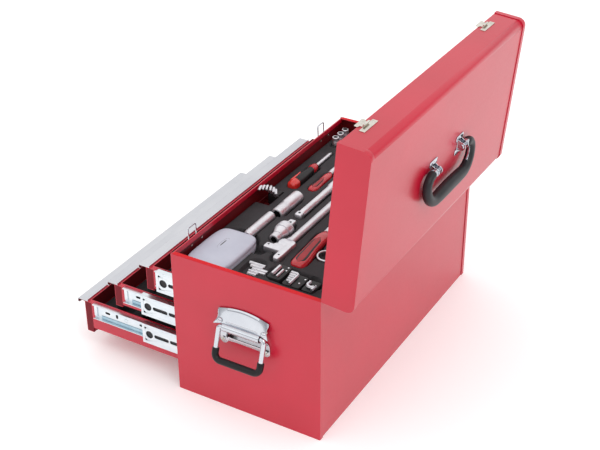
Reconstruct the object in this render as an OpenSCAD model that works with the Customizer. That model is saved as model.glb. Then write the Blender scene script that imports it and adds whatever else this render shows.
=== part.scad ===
// Portable steel tool chest: hinged lid, top compartment with a lift-out foam tray of
// hand tools, and three drawers on telescopic slides. The rest pose is open: the lid is
// thrown back and each drawer stands out further than the one above it.
// +X is the chest's right-hand end seen from the front, the front faces -Y, and the
// origin is the middle of the underside.

/* [Chest] */
// Width across the end panels
case_w = 510; // [480:1:560]
// Depth over the end panels' flanges
case_d = 247; // [245:1:260]
// Height of the open rim above the ground
case_h = 243; // [243:1:250]
// Height of the lid
lid_h = 50; // [45:1:60]
// Thickness of the folded steel sheet
sheet = 1.2; // [1:0.1:1.4]
// Radius of the lid's long top edges
edge_r = 12; // [8:1:16]
// Angle that the open lid stands at
lid_open = 95; // [90:1:95]

/* [Drawers] */
// Width of a drawer, without its slides
drawer_w = 475; // [475:1:480]
// Length of a drawer box, front wall to back wall
drawer_l = 212; // [200:1:212]
// Height from one pull's top to the next
drawer_pitch = 52; // [52:1:52]
// Height of the bottom drawer's pull
first_pull_z = 87; // [87:1:87]
// How far the bottom drawer stands out at rest
first_out = 190; // [150:1:190]
// How much less each drawer above stands out
out_step = 64; // [40:1:64]

/* [Handles and latches] */
// Diameter of the side handles' wire
bail_wire = 7.5; // [6:0.5:7.5]
// Angle that a side handle hangs out from the panel
bail_hang = 18; // [10:1:25]
// Distance of each latch from the middle
latch_x = 192; // [150:1:200]
// Half the distance between the carry handle's brackets
carry_x = 45; // [40:1:50]

/* [Hidden] */
$fn = 64;

red = [0.82, 0.13, 0.18];
dark_red = [0.42, 0.04, 0.06];
zinc = [0.82, 0.85, 0.88];
chrome = [0.86, 0.87, 0.89];
aluminium = [0.80, 0.81, 0.82];
foam_grey = [0.20, 0.19, 0.20];
black = [0.10, 0.10, 0.11];

// Chest body
end_x = case_w / 2;
back_y = case_d / 2;
skin_y = back_y - sheet;          // outer face of the front header and of the lid's wrap
in_x = end_x - sheet;             // inner face of an end panel
flange = 9;                       // end panel's overlap on the back
stile = 5;                        // end panel's narrow flange beside the drawers
rim_return = 7;                   // end panel's inward edge at the rim
header_z = 198;                   // lower edge of the front header
hem = 8;                          // height of the header's folded top edge
rail_h = 27;                      // rail under the bottom drawer
floor_z = 200.6;                  // underside of the compartment floor
floor_t = 1.2;
floor_flange = 10;

// Lid and its piano hinge; the hinge line runs along the back top edge
lid_z0 = case_h + 0.5;
lid_top = case_h + lid_h - sheet; // top of the lid's wrap
knuckle_r = 2.8;
pin_r = 1.2;
running = 0.06;                   // radial play of a pin in its bore
hinge_half = 240;
knuckles = 15;
knuckle_gap = 0.5;
leaf_t = 1.2;
leaf_h = 18;

// Drawers: index 0 is the bottom drawer
pull_z = [for (i = [0:2]) first_pull_z + i * drawer_pitch];
skin_out = [for (i = [0:2]) -skin_y - first_out + i * out_step];
box_floor = [38, pull_z[1] - 35, pull_z[2] - 35];
skin_low = [29, pull_z[1] - 39, pull_z[2] - 39];
front_gap = 13;                   // hollow between the front skin and the drawer box
side_rise = 5;                    // drawer sides stand above the pull
liner_drop = 20;                  // liner's top, below the pull
pull_lip = 14;                    // how far the pull stands out
pull_t = 1;

// Slides: three nested channels on each side of a drawer
slide_z = [for (z = pull_z) z - 11.5];
slide_l = 210;
inner_l = 205;
inner_half = 13.25;
mid_half = 17.5;
outer_half = 20.5;
inner_x = [drawer_w / 2, drawer_w / 2 + 6.5];
mid_x = [drawer_w / 2 + 3, drawer_w / 2 + 12];
outer_x = [drawer_w / 2 + 6.5, in_x];
outer_front = -118;
mid_front = [-191.5, -190, -158];

// Side handles
plate_t = 3;
bead_r = 6.5;
bead_off = 9;
bail_z = 153;
bail_half = 38;
bail_drop = 52;
bail_bend = 10;
bail_shoulder = 5;
sleeve_r = 5.25;

// Draw latches
lever_y = -skin_y - 5.2;
lever_z = 227;
loop_z = 216;
loop_half = 9.6;
loop_rise = 38.5;
loop_r = 1.1;
loop_lean = 2.7;
lever_pin_r = 1.5;

// Carry handle, on the lid's top
carry_y = -1.5;
carry_rise = 8;
carry_r = 3;
carry_drop = 45;
carry_half = 75;
carry_top_bend = 15;

// Slotted lid stay at the left-hand end. It pivots in the case, and its slot rides on a
// pin in the lid. Both lie at the same distance from the hinge line, so the stay always
// turns half as far as the lid.
stay_reach = 34;
stay_case = [back_y - stay_reach * cos(45), case_h - stay_reach * sin(45)];
stay_shut = [back_y - stay_reach * cos(15), case_h + stay_reach * sin(15)];
stay_lid = lid_at(stay_shut);
stay_w = 10;
stay_t = 1.6;
stay_x = -247;                    // outer face of the stay
stay_pin_r = 2.5;

// Foam tray
tray_low = [-241, -119.5, floor_z + floor_t + 0.3];
tray_high = [247, 119.5, 219.5];
bed_z = 219.5;                    // axis height of the tools that lie half sunk

function lid_at(p) =
    let (y = p[0] - back_y, z = p[1] - case_h)
    [back_y + y * cos(lid_open) + z * sin(lid_open), case_h - y * sin(lid_open) + z * cos(lid_open)];

module on_lid() {
    translate([0, back_y, case_h]) rotate([-lid_open, 0, 0]) translate([0, -back_y, -case_h]) children();
}

module block(low, high) { translate(low) cube(high - low); }

module both_ends() {
    children();
    mirror([1, 0, 0]) children();
}

// Extrudes an outline drawn in (y, z) along +X from x0 to x1
module along_x(x0, x1) {
    translate([x0, 0, 0]) rotate([90, 0, 90]) linear_extrude(x1 - x0) children();
}

module rod_x(r, x0, x1, y, z) { translate([x0, y, z]) rotate([0, 90, 0]) cylinder(r = r, h = x1 - x0); }

module rod_y(r, y0, y1, x, z) { translate([x, y0, z]) rotate([-90, 0, 0]) cylinder(r = r, h = y1 - y0); }

// Quarter turn of round bar, from +X to +Y about the origin
module elbow(r, bend) { rotate_extrude(angle = 90) translate([bend, 0]) circle(r); }

// Low domed rivet head, standing on the XY plane
module rivet_head(r, h) {
    ball = (r * r + h * h) / (2 * h);
    intersection() {
        translate([0, 0, h - ball]) sphere(ball);
        cylinder(r = r, h = h);
    }
}

// ---- Case ----

module case_wrap() color(red) {
    block([-in_x, -skin_y, 0], [in_x, skin_y, sheet]);
    block([-in_x, skin_y - sheet, 0], [in_x, skin_y, case_h - knuckle_r - 0.5]);
    block([-in_x, -skin_y, 0], [in_x, -skin_y + sheet, rail_h]);
}

module case_end() color(red) {
    hem_y = -skin_y + 2 * sheet;
    block([in_x, -back_y, 0], [end_x, back_y, case_h]);
    block([end_x - flange, skin_y, 0], [end_x, back_y, case_h]);
    block([end_x - stile, -back_y, 0], [end_x, -skin_y, case_h]);
    block([end_x - rim_return, hem_y, case_h - sheet], [end_x, back_y, case_h]);
    block([in_x - flange, -skin_y + sheet, sheet], [end_x, skin_y - sheet, 2 * sheet]);
}

module front_header() color(red) {
    block([-in_x, -skin_y, header_z], [in_x, -skin_y + sheet, case_h]);
    block([-in_x, -skin_y, case_h - hem], [in_x, -skin_y + 2 * sheet, case_h]);
}

module compartment_floor() color(dark_red) {
    y1 = skin_y - sheet;
    difference() {
        block([-in_x, -y1, floor_z], [in_x, y1, floor_z + floor_t + floor_flange]);
        block([-in_x + 1, -y1 + 1, floor_z + floor_t], [in_x - 1, y1 - 1, case_h]);
    }
}

module case_rivets() color(zinc) {
    for (s = [-1, 1], dx = [-13, 13]) {
        translate([s * latch_x + dx, -skin_y + sheet, 230]) rotate([-90, 0, 0]) rivet_head(2.4, 1);
        translate([s * latch_x + dx, -skin_y - sheet, 230]) rotate([90, 0, 0]) rivet_head(2.4, 1);
        translate([s * latch_x + dx, -skin_y - sheet, 210]) rotate([90, 0, 0]) rivet_head(2.4, 1);
    }
    both_ends() for (y = [-36.5, 36.5], z = [163, 126])
        translate([end_x + plate_t, y, z]) rotate([0, 90, 0]) rivet_head(3, 1.5);
}

// ---- Side handles ----

module plate_outline() {
    intersection() {
        translate([0, 116]) circle(70, $fn = 96);
        polygon([[-42, 190], [42, 190], [44.5, 144], [-44.5, 144]]);
    }
    translate([-42, 124]) square([84, 22]);
    for (s = [-1, 1]) translate([s * 35.3, 125.7]) circle(6.7);
}

module handle_plate() color(chrome) {
    axle_x = end_x + bead_off;
    difference() {
        union() {
            along_x(end_x, end_x + plate_t) plate_outline();
            rod_y(bead_r, -31, 31, axle_x, bail_z);
            block([end_x, -31, bail_z - bead_r], [axle_x, 31, bail_z + bead_r]);
        }
        rod_y(bail_wire / 2 + running, -50, 50, axle_x, bail_z);
    }
}

// Half of a side handle's wire, in its own plane: x across the handle, y up, pivot at 0
module bail_half_path(r, leg_top) {
    straight = bail_half - bail_bend;
    translate([0, -bail_drop, 0]) rotate([0, 90, 0]) cylinder(r = r, h = straight);
    translate([straight, -bail_drop + bail_bend, 0]) rotate([0, 0, -90]) elbow(r, bail_bend);
    translate([bail_half, -bail_drop + bail_bend, 0]) rotate([-90, 0, 0])
        cylinder(r = r, h = bail_drop - bail_bend + leg_top);
}

module bail_wire_path() {
    neck = bail_half - bail_shoulder;
    bail_half_path(bail_wire / 2, -bail_shoulder);
    translate([neck, -bail_shoulder, 0]) elbow(bail_wire / 2, bail_shoulder);
    translate([24, 0, 0]) rotate([0, 90, 0]) cylinder(r = bail_wire / 2, h = neck - 24);
}

module at_bail() {
    translate([end_x + bead_off, 0, bail_z]) rotate([0, -bail_hang, 0]) rotate([90, 0, 90]) children();
}

module side_bail() color(chrome) at_bail() both_ends() bail_wire_path();

module side_grip() color(black) at_bail() both_ends() difference() {
    bail_half_path(sleeve_r, -34);
    bail_half_path(bail_wire / 2, 0);
}

// ---- Draw latches, modelled at the middle and moved out to latch_x ----

module latch_base() color(zinc) {
    plate_y = -skin_y - sheet;
    block([-17, plate_y, 204], [17, -skin_y, 239]);
    difference() {
        for (x = [-8, 7]) {
            rod_x(3.6, x, x + 1, lever_y, lever_z);
            block([x, lever_y, lever_z - 3.6], [x + 1, plate_y, lever_z + 3.6]);
        }
        rod_x(lever_pin_r + running, -9, 9, lever_y, lever_z);
    }
}

module latch_lever() color(zinc) {
    face_y = lever_y - 4.8;
    difference() {
        union() {
            for (x = [-6.3, 5.3]) {
                rod_x(3, x, x + 1, lever_y, lever_z);
                rod_x(2.8, x, x + 1, lever_y, loop_z);
                block([x, face_y, loop_z], [x + 1, lever_y + 2.8, lever_z]);
                block([x, face_y, 211], [x + 1, lever_y, lever_z]);
            }
            block([-6.3, face_y, 205], [6.3, face_y + 1.2, lever_z + 1.5]);
            block([-6.3, face_y - 2.5, 204], [6.3, face_y + 1.2, 205.2]);
        }
        rod_x(loop_r + running, -9, 9, lever_y, loop_z);
    }
    rod_x(lever_pin_r, -8.1, 8.1, lever_y, lever_z);
}

module latch_bail_half() {
    corner = 3;
    foot = 2;
    translate([0, loop_rise, 0]) rotate([0, 90, 0]) cylinder(r = loop_r, h = loop_half - corner);
    translate([loop_half - corner, loop_rise - corner, 0]) elbow(loop_r, corner);
    translate([loop_half, foot, 0]) rotate([-90, 0, 0]) cylinder(r = loop_r, h = loop_rise - corner - foot);
    translate([loop_half - foot, foot, 0]) rotate([0, 0, -90]) elbow(loop_r, foot);
    translate([4.9, 0, 0]) rotate([0, 90, 0]) cylinder(r = loop_r, h = loop_half - foot - 4.9);
}

module latch_bail() color(zinc)
    translate([0, lever_y, loop_z]) rotate([90 + loop_lean, 0, 0]) both_ends() latch_bail_half();

module latch_keeper() {
    face = -skin_y - 1.2;
    block([-19, face, 251], [19, -skin_y, 259]);
    block([-8, face - 0.4, 244.5], [8, -skin_y, 251]);
    block([-11, face - 0.4, 239.8], [11, -skin_y - 0.4, 246]);
    block([-7.8, -skin_y - 4.7, 250.2], [7.8, -skin_y, 251.4]);
    block([-7.8, -skin_y - 4.7, 250.2], [7.8, -skin_y - 3.6, 253]);
    for (x = [-14, 14]) translate([x, face, 255]) rotate([90, 0, 0]) rivet_head(2.2, 0.9);
}

module latch_keepers() color(zinc) on_lid() for (s = [-1, 1]) translate([s * latch_x, 0, 0]) latch_keeper();

// ---- Lid ----

// Closed lid's section in (y, z), drawn in by inset, down to z0
module lid_outline(inset, z0) {
    half = back_y - inset;
    top = case_h + lid_h - inset;
    r = edge_r - inset;
    translate([-half, z0]) square([2 * half, top - r - z0]);
    translate([-half + r, top - r]) square([2 * (half - r), r]);
    for (s = [-1, 1]) translate([s * (half - r), top - r]) circle(r);
}

module lid_wrap() color(red) on_lid() difference() {
    along_x(-in_x, in_x) difference() {
        lid_outline(sheet, lid_z0);
        lid_outline(2 * sheet, lid_z0 - 1);
    }
    block([-end_x, 0, lid_z0 - 1], [end_x, back_y, case_h + knuckle_r + 0.5]);
}

module lid_end() color(red) on_lid() {
    along_x(in_x, end_x) lid_outline(0, lid_z0);
    along_x(end_x - flange, end_x) difference() {
        lid_outline(0, lid_z0);
        lid_outline(sheet, lid_z0 - 1);
    }
    block([end_x - rim_return, -skin_y + sheet, lid_z0], [end_x, skin_y - sheet, lid_z0 + sheet]);
}

// ---- Piano hinge ----

// Knuckles whose index is even (first = 0) or odd (first = 1)
module knuckle_row(first, bore) {
    pitch = 2 * hinge_half / knuckles;
    difference() {
        for (i = [first:2:knuckles - 1])
            rod_x(knuckle_r, -hinge_half + i * pitch + knuckle_gap / 2,
                  -hinge_half + (i + 1) * pitch - knuckle_gap / 2, back_y, case_h);
        rod_x(bore, -hinge_half - 1, hinge_half + 1, back_y, case_h);
    }
}

// A leaf's tabs run up to its own knuckles only
module leaf(first, low, high, tab_low, tab_high) {
    pitch = 2 * hinge_half / knuckles;
    y1 = skin_y - sheet;
    block([-hinge_half, y1 - leaf_t, low], [hinge_half, y1, high]);
    for (i = [first:2:knuckles - 1])
        block([-hinge_half + i * pitch + knuckle_gap / 2, y1 - leaf_t, tab_low],
              [-hinge_half + (i + 1) * pitch - knuckle_gap / 2, y1, tab_high]);
}

module hinge_leaf_case() color(zinc) {
    knuckle_row(0, pin_r);
    leaf(0, case_h - leaf_h, case_h - 4, case_h - 4, case_h);
}

module hinge_leaf_lid() color(zinc) on_lid() {
    knuckle_row(1, pin_r + running);
    leaf(1, case_h + 4, case_h + leaf_h, case_h, case_h + 4);
}

module hinge_pin() color(zinc) rod_x(pin_r, -hinge_half, hinge_half, back_y, case_h);

// ---- Lid stay ----

// Headed pin that stands off the end panel, at a (y, z) point
module stay_pin(p) {
    rod_x(5, -in_x + 1.5, stay_x - 0.3, p[0], p[1]);
    rod_x(stay_pin_r, stay_x - 0.3, stay_x + stay_t + 0.3, p[0], p[1]);
    rod_x(4, stay_x + stay_t + 0.3, stay_x + stay_t + 1.1, p[0], p[1]);
}

module stay_bracket_case() color(zinc) {
    block([-in_x, stay_case[0] - 9, 212.5], [-in_x + 1.5, stay_case[0] + 9, 230]);
    stay_pin(stay_case);
}

module stay_bracket_lid() color(zinc) on_lid() {
    block([-in_x, stay_shut[0] - 9, 245.4], [-in_x + 1.5, stay_shut[0] + 9, 264]);
    stay_pin(stay_shut);
}

module stay_link() color(zinc) {
    shut = norm(stay_shut - stay_case);
    open = norm(stay_lid - stay_case);
    lean = atan2(stay_lid[1] - stay_case[1], stay_lid[0] - stay_case[0]);
    hole = stay_pin_r + running;
    along_x(stay_x, stay_x + stay_t) translate(stay_case) rotate(lean) difference() {
        union() {
            circle(stay_w / 2);
            translate([0, -stay_w / 2]) square([open, stay_w]);
            translate([open, 0]) circle(stay_w / 2);
        }
        circle(hole);
        translate([shut - 0.4, 0]) circle(hole);
        translate([shut - 0.4, -hole]) square([open - shut + 0.7, 2 * hole]);
        translate([open + 0.3, 0]) circle(hole);
    }
}

// ---- Carry handle ----

module carry_brackets() color(chrome) on_lid() {
    pivot_z = lid_top + carry_rise;
    for (s = [-1, 1]) translate([s * carry_x, carry_y, 0]) {
        block([-12, -15, lid_top], [12, 15, lid_top + 1.5]);
        difference() {
            union() {
                block([-6, -6, lid_top], [6, 6, pivot_z]);
                rod_x(6, -6, 6, 0, pivot_z);
            }
            rod_x(carry_r + running, -7, 7, 0, pivot_z);
        }
        for (y = [-10.5, 10.5]) translate([0, y, lid_top + 1.5]) rivet_head(2.4, 1);
    }
}

// The handle hangs straight down from its pivots; x across, y up, pivots at y = 0
module at_carry() {
    pivot = lid_at([carry_y, lid_top + carry_rise]);
    translate([0, pivot[0], pivot[1]]) rotate([90, 0, 0]) children();
}

module carry_half_path(r_top, r_side, r_bar) {
    top_x = carry_half - carry_top_bend;
    big = carry_drop - carry_top_bend;
    translate([top_x, -carry_top_bend, 0]) elbow(r_top, carry_top_bend);
    translate([carry_half - big, -carry_top_bend, 0]) rotate([0, 0, -90]) elbow(r_side, big);
    translate([0, -carry_drop, 0]) rotate([0, 90, 0]) cylinder(r = r_bar, h = carry_half - big);
}

module carry_pin(r, x0) {
    translate([x0, 0, 0]) rotate([0, 90, 0]) cylinder(r = r, h = carry_half - carry_top_bend - x0);
}

module carry_core() color(chrome) at_carry() both_ends() {
    carry_half_path(carry_r, carry_r, carry_r);
    carry_pin(carry_r, carry_x - 8);
}

module carry_grip() color(black) at_carry() both_ends() difference() {
    union() {
        carry_half_path(6.5, 7.5, 8.5);
        carry_pin(6.5, carry_half - carry_top_bend - 2);
    }
    carry_half_path(carry_r, carry_r, carry_r);
    carry_pin(carry_r, carry_x);
}

// ---- Drawers ----

module drawer_box(i) color(dark_red) {
    y0 = skin_out[i] + front_gap;
    top = pull_z[i] + side_rise;
    difference() {
        block([-drawer_w / 2, y0, box_floor[i]], [drawer_w / 2, y0 + drawer_l, top]);
        block([-drawer_w / 2 + 1, y0 + 1, box_floor[i] + 1], [drawer_w / 2 - 1, y0 + drawer_l - 1, top + 1]);
    }
}

module drawer_front(i) color(red) {
    y0 = skin_out[i];
    top = pull_z[i] - pull_t;
    block([-drawer_w / 2, y0, skin_low[i]], [drawer_w / 2, y0 + sheet, top]);
    block([-drawer_w / 2, y0, top - sheet], [drawer_w / 2, y0 + front_gap, top]);
    block([-drawer_w / 2, y0, skin_low[i]], [drawer_w / 2, y0 + front_gap, skin_low[i] + sheet]);
}

module pull_outline() {
    lip_r = 2.5;
    translate([-pull_lip + lip_r, -pull_t]) square([pull_lip - lip_r + 6, pull_t]);
    translate([5, -pull_t]) square([1, 3]);
    intersection() {
        translate([-pull_lip + lip_r, -lip_r]) difference() {
            circle(lip_r);
            circle(lip_r - pull_t);
        }
        translate([-pull_lip, -lip_r]) square([lip_r, lip_r]);
    }
    translate([-pull_lip, -7]) square([pull_t, 7 - lip_r]);
    translate([-pull_lip, -7]) square([3.5, pull_t]);
}

module drawer_pull(i) color(aluminium)
    translate([0, skin_out[i], pull_z[i]]) along_x(-drawer_w / 2, drawer_w / 2) pull_outline();

module drawer_liner(i) color(foam_grey) {
    y0 = skin_out[i] + front_gap + 1;
    block([-drawer_w / 2 + 1, y0, box_floor[i] + 1],
          [drawer_w / 2 - 1, y0 + drawer_l - 2, pull_z[i] - liner_drop]);
}

// ---- Slides ----

module slide_inner(i) color(zinc) both_ends() {
    y0 = skin_out[i] + 20;
    difference() {
        block([inner_x[0], y0, slide_z[i] - inner_half], [inner_x[1], y0 + inner_l, slide_z[i] + inner_half]);
        block([inner_x[0] + 1.2, y0 - 1, slide_z[i] - inner_half + 1.2],
              [inner_x[1] + 1, y0 + inner_l + 1, slide_z[i] + inner_half - 1.2]);
    }
}

module slide_mid(i) color(zinc) both_ends() {
    y0 = mid_front[i];
    z0 = slide_z[i];
    web = mid_x[1] - 1.2;
    difference() {
        block([mid_x[0], y0, z0 - mid_half], [mid_x[1], y0 + slide_l, z0 + mid_half]);
        block([mid_x[0] - 1, y0 - 1, z0 - mid_half + 1.2], [web, y0 + slide_l + 1, z0 + mid_half - 1.2]);
        rod_x(6.5, web - 1, mid_x[1] + 1, y0 + 13, z0);
        for (z = [-11, 11]) rod_x(1.8, web - 1, mid_x[1] + 1, y0 + 6, z0 + z);
        for (y = [[25, 46], [54, 68]]) along_x(web - 1, mid_x[1] + 1) {
            translate([y0 + y[0], z0 - 3]) square([y[1] - y[0], 6]);
            for (end = y) translate([y0 + end, z0]) circle(3);
        }
    }
}

module slide_outer(i) color(zinc) both_ends() {
    z0 = slide_z[i];
    difference() {
        block([outer_x[0], outer_front, z0 - outer_half], [outer_x[1], outer_front + slide_l, z0 + outer_half]);
        block([outer_x[0] - 1, outer_front - 1, z0 - outer_half + 1.2],
              [outer_x[1] - 1.2, outer_front + slide_l + 1, z0 + outer_half - 1.2]);
    }
}

// ---- Tray and tools ----

// Upright block with rounded corners between two plan points
module rounded_block(low, high, r) {
    block([low[0] + r, low[1], low[2]], [high[0] - r, high[1], high[2]]);
    block([low[0], low[1] + r, low[2]], [high[0], high[1] - r, high[2]]);
    for (x = [low[0] + r, high[0] - r], y = [low[1] + r, high[1] - r])
        translate([x, y, low[2]]) cylinder(r = r, h = high[2] - low[2]);
}

module pocket(x0, x1, y, half, depth) {
    block([x0, y - half, bed_z - depth], [x1, y + half, bed_z + 1]);
}

module foam_tray() color(foam_grey) difference() {
    block(tray_low, tray_high);
    rounded_block([131, -117.5, 207], [239, -46, 225], 18);
    pocket(57, 132, -74, 9, 9);
    pocket(-14, 56, -67.5, 12, 11);
    pocket(58, 120, -34, 15, 14.5);
    pocket(-152, 150, -8, 7, 7);
    pocket(112, 172, -15, 22, 9);
    pocket(-132, 48, -35, 9, 8);
    pocket(-26, 168, 30, 15.5, 9);
    pocket(-68, -25, 26, 22, 11);
    pocket(-105, -38, -61, 10, 8);
    pocket(-152, -100, -61, 6, 6);
    pocket(-179, -147, -61, 16, 9);
    pocket(-117, -29, -93, 11.5, 11);
    pocket(-168, -116, -93, 4.5, 4);
    pocket(-239, -188, -104, 9, 8);
    pocket(180, 216, -20, 17, 6);
    pocket(170, 218, 46, 44, 8);
    translate([119, 57.5, bed_z - 7]) cylinder(r = 16.5, h = 9);
    block([-14, -125, 200], [36, -93, 230]);
}

module accessory_case() color([0.80, 0.80, 0.84]) rounded_block([132, -116.5, 207], [238, -47, 229], 17);

module ratchet_large() color([0.72, 0.10, 0.12]) {
    rounded_block([120, 18, 211], [166, 44.5, 225], 12);
    rounded_block([64, 15.5, 211], [130, 37, 225], 9);
    rod_x(6, -30, 66, 26, bed_z);
    translate([-46, 26, 209]) cylinder(r = 20, h = 18);
}

module ratchet_small() color([0.72, 0.10, 0.12]) {
    rounded_block([-103, -69, 212], [-40, -53, 224], 7);
    rod_x(4.5, -151, -101, -61, bed_z);
    translate([-163, -61, 211]) cylinder(r = 14, h = 14);
}

module screwdriver() color([0.72, 0.10, 0.12]) {
    rod_x(10, -115, -31, -93, bed_z + 1);
    rod_x(3, -166, -115, -93, bed_z + 1);
}

module drive_tools() color(chrome) {
    rod_x(8, 59, 130, -74, bed_z);
    rod_x(10.5, -12, 54, -67.5, bed_z + 1);
    rod_x(14, 78, 94, -34, bed_z);
    rod_x(9, 94, 118, -34, bed_z);
    block([60, -39.5, bed_z - 5.5], [79, -28.5, bed_z + 5.5]);
    rod_x(6, -150, 115, -8, bed_z + 1);
    block([114, -25, 213], [130, 4, 226]);
    block([130, -6, 213], [168, 4, 226]);
    block([130, -25, 213], [150, -15, 226]);
    block([134, -36, 214], [145, -25, 225]);
    rod_x(6, -57, 34, -35, bed_z + 1);
    rod_x(7.5, -130, -57, -35, bed_z + 1);
    block([34, -41, bed_z - 5], [46, -29, bed_z + 7]);
}

module small_tools() color(chrome) {
    block([-238, -108, 212], [-189, -100, 219]);
    for (x = [-200, -217, -234]) translate([x, -104, 219]) difference() {
        cylinder(r = 6, h = 14);
        translate([0, 0, 5]) cylinder(r = 4, h = 10);
    }
    for (rod = [[185, -34], [191.5, -28.5], [198, -22], [204.5, -24], [211, -22]])
        rod_y(2.4, rod[1], -7, rod[0], 216.5);
    translate([119, 57.5, 213]) difference() {
        cylinder(r = 15.5, h = 9);
        translate([0, 0, -1]) cylinder(r = 12.5, h = 11);
    }
    block([172, 8, 212], [210, 34, 222]);
    block([183, 36, 212], [215, 66, 222]);
    block([186, 68, 212], [215, 88, 222]);
    rod_x(3, 181, 204, 16, 224);
    block([188, 38, 221], [214, 51, 227]);
    block([194, 72, 221], [213, 86, 227]);
    block([-12, -114, tray_low[2]], [6, -95, 222]);
    for (i = [0:5]) translate([0, -112 + 3 * i, 214]) rotate([0, 35, 0]) cylinder(r = 1.8, h = 34);
}

module at_latch(side) { translate([side * latch_x, 0, 0]) children(); }

case_wrap();
case_end();  // case_end_right
mirror([1, 0, 0]) case_end();  // case_end_left
front_header();
compartment_floor();
case_rivets();
handle_plate();  // handle_plate_right
mirror([1, 0, 0]) handle_plate();  // handle_plate_left
at_latch(1) latch_base();  // latch_base_right
at_latch(-1) latch_base();  // latch_base_left
hinge_leaf_case();
hinge_pin();
slide_outer(0);  // slide_outer_bottom
slide_outer(1);  // slide_outer_middle
slide_outer(2);  // slide_outer_top
stay_bracket_case();
lid_wrap();
lid_end();  // lid_end_right
mirror([1, 0, 0]) lid_end();  // lid_end_left
latch_keepers();
carry_brackets();
hinge_leaf_lid();
stay_bracket_lid();
stay_link();
carry_core();
carry_grip();
side_bail();  // side_bail_right
side_grip();  // side_grip_right
mirror([1, 0, 0]) side_bail();  // side_bail_left
mirror([1, 0, 0]) side_grip();  // side_grip_left
at_latch(1) latch_lever();  // latch_lever_right
at_latch(-1) latch_lever();  // latch_lever_left
at_latch(1) latch_bail();  // latch_bail_right
at_latch(-1) latch_bail();  // latch_bail_left
drawer_box(0);  // drawer_box_bottom
drawer_box(1);  // drawer_box_middle
drawer_box(2);  // drawer_box_top
drawer_front(0);  // drawer_front_bottom
drawer_front(1);  // drawer_front_middle
drawer_front(2);  // drawer_front_top
drawer_pull(0);  // drawer_pull_bottom
drawer_pull(1);  // drawer_pull_middle
drawer_pull(2);  // drawer_pull_top
drawer_liner(0);  // drawer_liner_bottom
drawer_liner(1);  // drawer_liner_middle
drawer_liner(2);  // drawer_liner_top
slide_inner(0);  // slide_inner_bottom
slide_inner(1);  // slide_inner_middle
slide_inner(2);  // slide_inner_top
slide_mid(0);  // slide_mid_bottom
slide_mid(1);  // slide_mid_middle
slide_mid(2);  // slide_mid_top
foam_tray();
accessory_case();
ratchet_large();
ratchet_small();
screwdriver();
drive_tools();
small_tools();
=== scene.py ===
"""Looks of a portable steel tool chest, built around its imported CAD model.

The chest stands open: lid thrown back, drawers stepped out on telescopic slides, and a
foam tray of hand tools in the top compartment. Lengths in this file are millimetres in
the model's own frame unless a name ends in _m; +X is the chest's right-hand end, -Y its
front and +Z up.
"""

import logging
import math
from dataclasses import dataclass, field
from enum import Enum
from typing import Iterable, Sequence

import bmesh
import bpy
from mathutils import Matrix, Vector


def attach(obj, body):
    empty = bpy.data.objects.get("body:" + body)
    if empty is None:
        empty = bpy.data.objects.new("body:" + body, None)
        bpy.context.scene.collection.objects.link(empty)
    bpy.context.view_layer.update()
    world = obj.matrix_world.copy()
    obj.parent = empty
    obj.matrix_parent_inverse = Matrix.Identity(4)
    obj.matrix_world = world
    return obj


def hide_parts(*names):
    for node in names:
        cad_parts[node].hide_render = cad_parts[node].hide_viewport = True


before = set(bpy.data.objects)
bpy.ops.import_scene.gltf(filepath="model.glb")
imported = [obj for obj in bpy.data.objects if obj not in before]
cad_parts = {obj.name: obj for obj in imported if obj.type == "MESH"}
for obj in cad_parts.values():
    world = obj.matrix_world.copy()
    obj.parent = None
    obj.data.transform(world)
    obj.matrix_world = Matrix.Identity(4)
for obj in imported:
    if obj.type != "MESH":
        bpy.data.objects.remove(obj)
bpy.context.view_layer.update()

LOG = logging.getLogger("tool_chest")

MM = 0.001
Point = tuple[float, float, float]
Flat = tuple[float, float]


# ---------------------------------------------------------------- colour and nodes


def linear(code: str) -> tuple[float, float, float, float]:
    """Turns an sRGB hex colour into linear RGBA.

    Args:
        code: Six hex digits, with or without a leading #.

    Returns:
        The linear colour with full alpha.
    """
    digits = code.lstrip("#")
    channels = [int(digits[i:i + 2], 16) / 255 for i in (0, 2, 4)]
    curve = [c / 12.92 if c <= 0.04045 else ((c + 0.055) / 1.055) ** 2.4 for c in channels]
    return (curve[0], curve[1], curve[2], 1.0)


def add_node(
    tree: bpy.types.NodeTree,
    kind: str,
    values: dict[str | int, object] | None = None,
    links: dict[str | int, bpy.types.NodeSocket] | None = None,
    **settings: object,
) -> bpy.types.Node:
    """Adds one shader node with its settings, socket values and incoming links.

    Args:
        tree: Node tree that gets the node.
        kind: Blender's node type, such as "ShaderNodeBump".
        values: Socket name or index to constant value.
        links: Socket name or index to the output that feeds it.
        **settings: Properties of the node itself.

    Returns:
        The new node.
    """
    node = tree.nodes.new(kind)
    for key, value in settings.items():
        setattr(node, key, value)
    for key, value in (values or {}).items():
        node.inputs[key].default_value = value
    for key, source in (links or {}).items():
        tree.links.new(source, node.inputs[key])
    return node


class Surface(Enum):
    """How a finish was made, which decides the pattern that its bump follows."""

    SPRAYED = "sprayed"
    BRUSHED = "brushed"
    PLATED = "plated"
    MOULDED = "moulded"
    CELLULAR = "cellular"


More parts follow.
